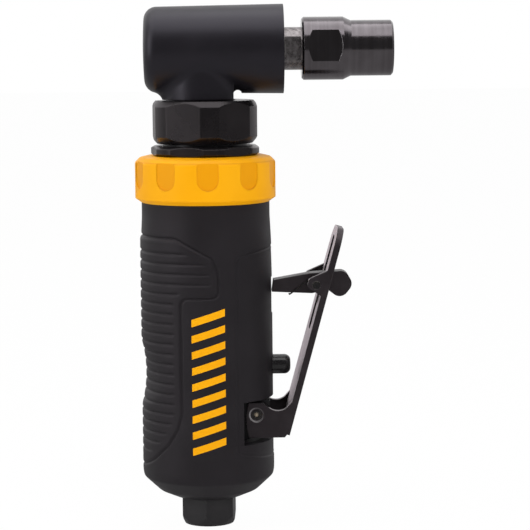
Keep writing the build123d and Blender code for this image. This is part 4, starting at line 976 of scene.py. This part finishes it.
# floor, white to the eye, that keeps a faint shadow
floorSetup = {
    "across": (-3.0, 3.0),
    "deep": (-1.2, 5.0),
    "height": -0.0002,
    "shade": 0.9,
    "toWhite": 0.98,
    "mirrored": 0.42,
}
floorCorners = [(x, y, floorSetup["height"]) for x in floorSetup["across"] for y in floorSetup["deep"]]
floorMesh = bpy.data.meshes.new("studioFloor")
floorMesh.from_pydata(floorCorners, [], [(0, 2, 3, 1)])
floor = bpy.data.objects.new("studioFloor", floorMesh)
scene.collection.objects.link(floor)
floorMaterial = bpy.data.materials.new("studioFloor")
floorMaterial.use_nodes = True
tree = floorMaterial.node_tree
tree.nodes.remove(tree.nodes["Principled BSDF"])
matte = addNode(tree, "ShaderNodeBsdfDiffuse", Color=(floorSetup["shade"],) * 3 + (1,))
white = addNode(tree, "ShaderNodeEmission", Strength=1.0)
path = addNode(tree, "ShaderNodeLightPath")
seen = addMath(tree, "MAXIMUM", path.outputs["Is Camera Ray"], path.outputs["Is Transmission Ray"])
mixer = addNode(tree, "ShaderNodeMixShader")
tree.links.new(addMath(tree, "MULTIPLY", seen, floorSetup["toWhite"]), mixer.inputs[0])
tree.links.new(matte.outputs[0], mixer.inputs[1])
tree.links.new(white.outputs[0], mixer.inputs[2])
dim = addNode(tree, "ShaderNodeEmission", Strength=floorSetup["mirrored"])
chooser = addNode(tree, "ShaderNodeMixShader")
tree.links.new(path.outputs["Is Glossy Ray"], chooser.inputs[0])
tree.links.new(mixer.outputs[0], chooser.inputs[1])
tree.links.new(dim.outputs[0], chooser.inputs[2])
tree.links.new(chooser.outputs[0], tree.nodes["Material Output"].inputs["Surface"])
floorMesh.materials.append(floorMaterial)

# world: white behind the tool, a dim room in front of it
worldSetup = {"front": 0.1, "back": 1.0, "turn": (-0.1, 0.5)}
world = bpy.data.worlds.new("studioRoom")
scene.world = world
world.use_nodes = True
tree = world.node_tree
background = tree.nodes["Background"]
towards = splitPlace(tree, "Generated")["Y"]
level = addRange(tree, towards, *worldSetup["turn"], worldSetup["front"], worldSetup["back"])
path = addNode(tree, "ShaderNodeLightPath")
level = addMath(tree, "MAXIMUM", level, path.outputs["Is Camera Ray"])
tree.links.new(level, background.inputs["Color"])

# soft boxes
lightRig = {
    "topBox": {
        "place": (-0.1, -0.05, 0.8), "aim": (0.0, 0.0, 0.12), "size": (0.8, 0.5),
        "watts": 3.6, "mirrored": False, "lighting": True,
    },
    "skyPanel": {
        "place": (0.0, -0.14, 0.9), "aim": (0.0, -0.14, 0.0), "size": (1.5, 0.98),
        "watts": 8.8, "mirrored": True, "lighting": False,
    },
    "leftBox": {
        "place": (-0.75, -0.35, 0.35), "aim": (0.0, 0.0, 0.1), "size": (0.4, 0.7),
        "watts": 2.2, "mirrored": True, "lighting": True,
    },
    "frontFill": {
        "place": (0.25, -1.1, 0.5), "aim": (0.0, 0.0, 0.09), "size": (0.5, 0.4),
        "watts": 3.6, "mirrored": False, "lighting": True,
    },
    "rightFill": {
        "place": (0.7, -0.6, 0.3), "aim": (0.0, 0.0, 0.1), "size": (0.5, 0.5),
        "watts": 1.7, "mirrored": False, "lighting": True,
    },
}
for name, box in lightRig.items():
    lamp = bpy.data.lights.new(name, "AREA")
    lamp.shape = "RECTANGLE"
    lamp.size, lamp.size_y = box["size"]
    lamp.energy = box["watts"]
    holder = bpy.data.objects.new(name, lamp)
    scene.collection.objects.link(holder)
    holder.location = box["place"]
    holder.visible_glossy = box["mirrored"]
    holder.visible_diffuse = box["lighting"]
    way = Vector(box["aim"]) - Vector(box["place"])
    holder.rotation_euler = way.to_track_quat("-Z", "Y").to_euler()
print("floor, room and lights set")

bpy.context.view_layer.update()
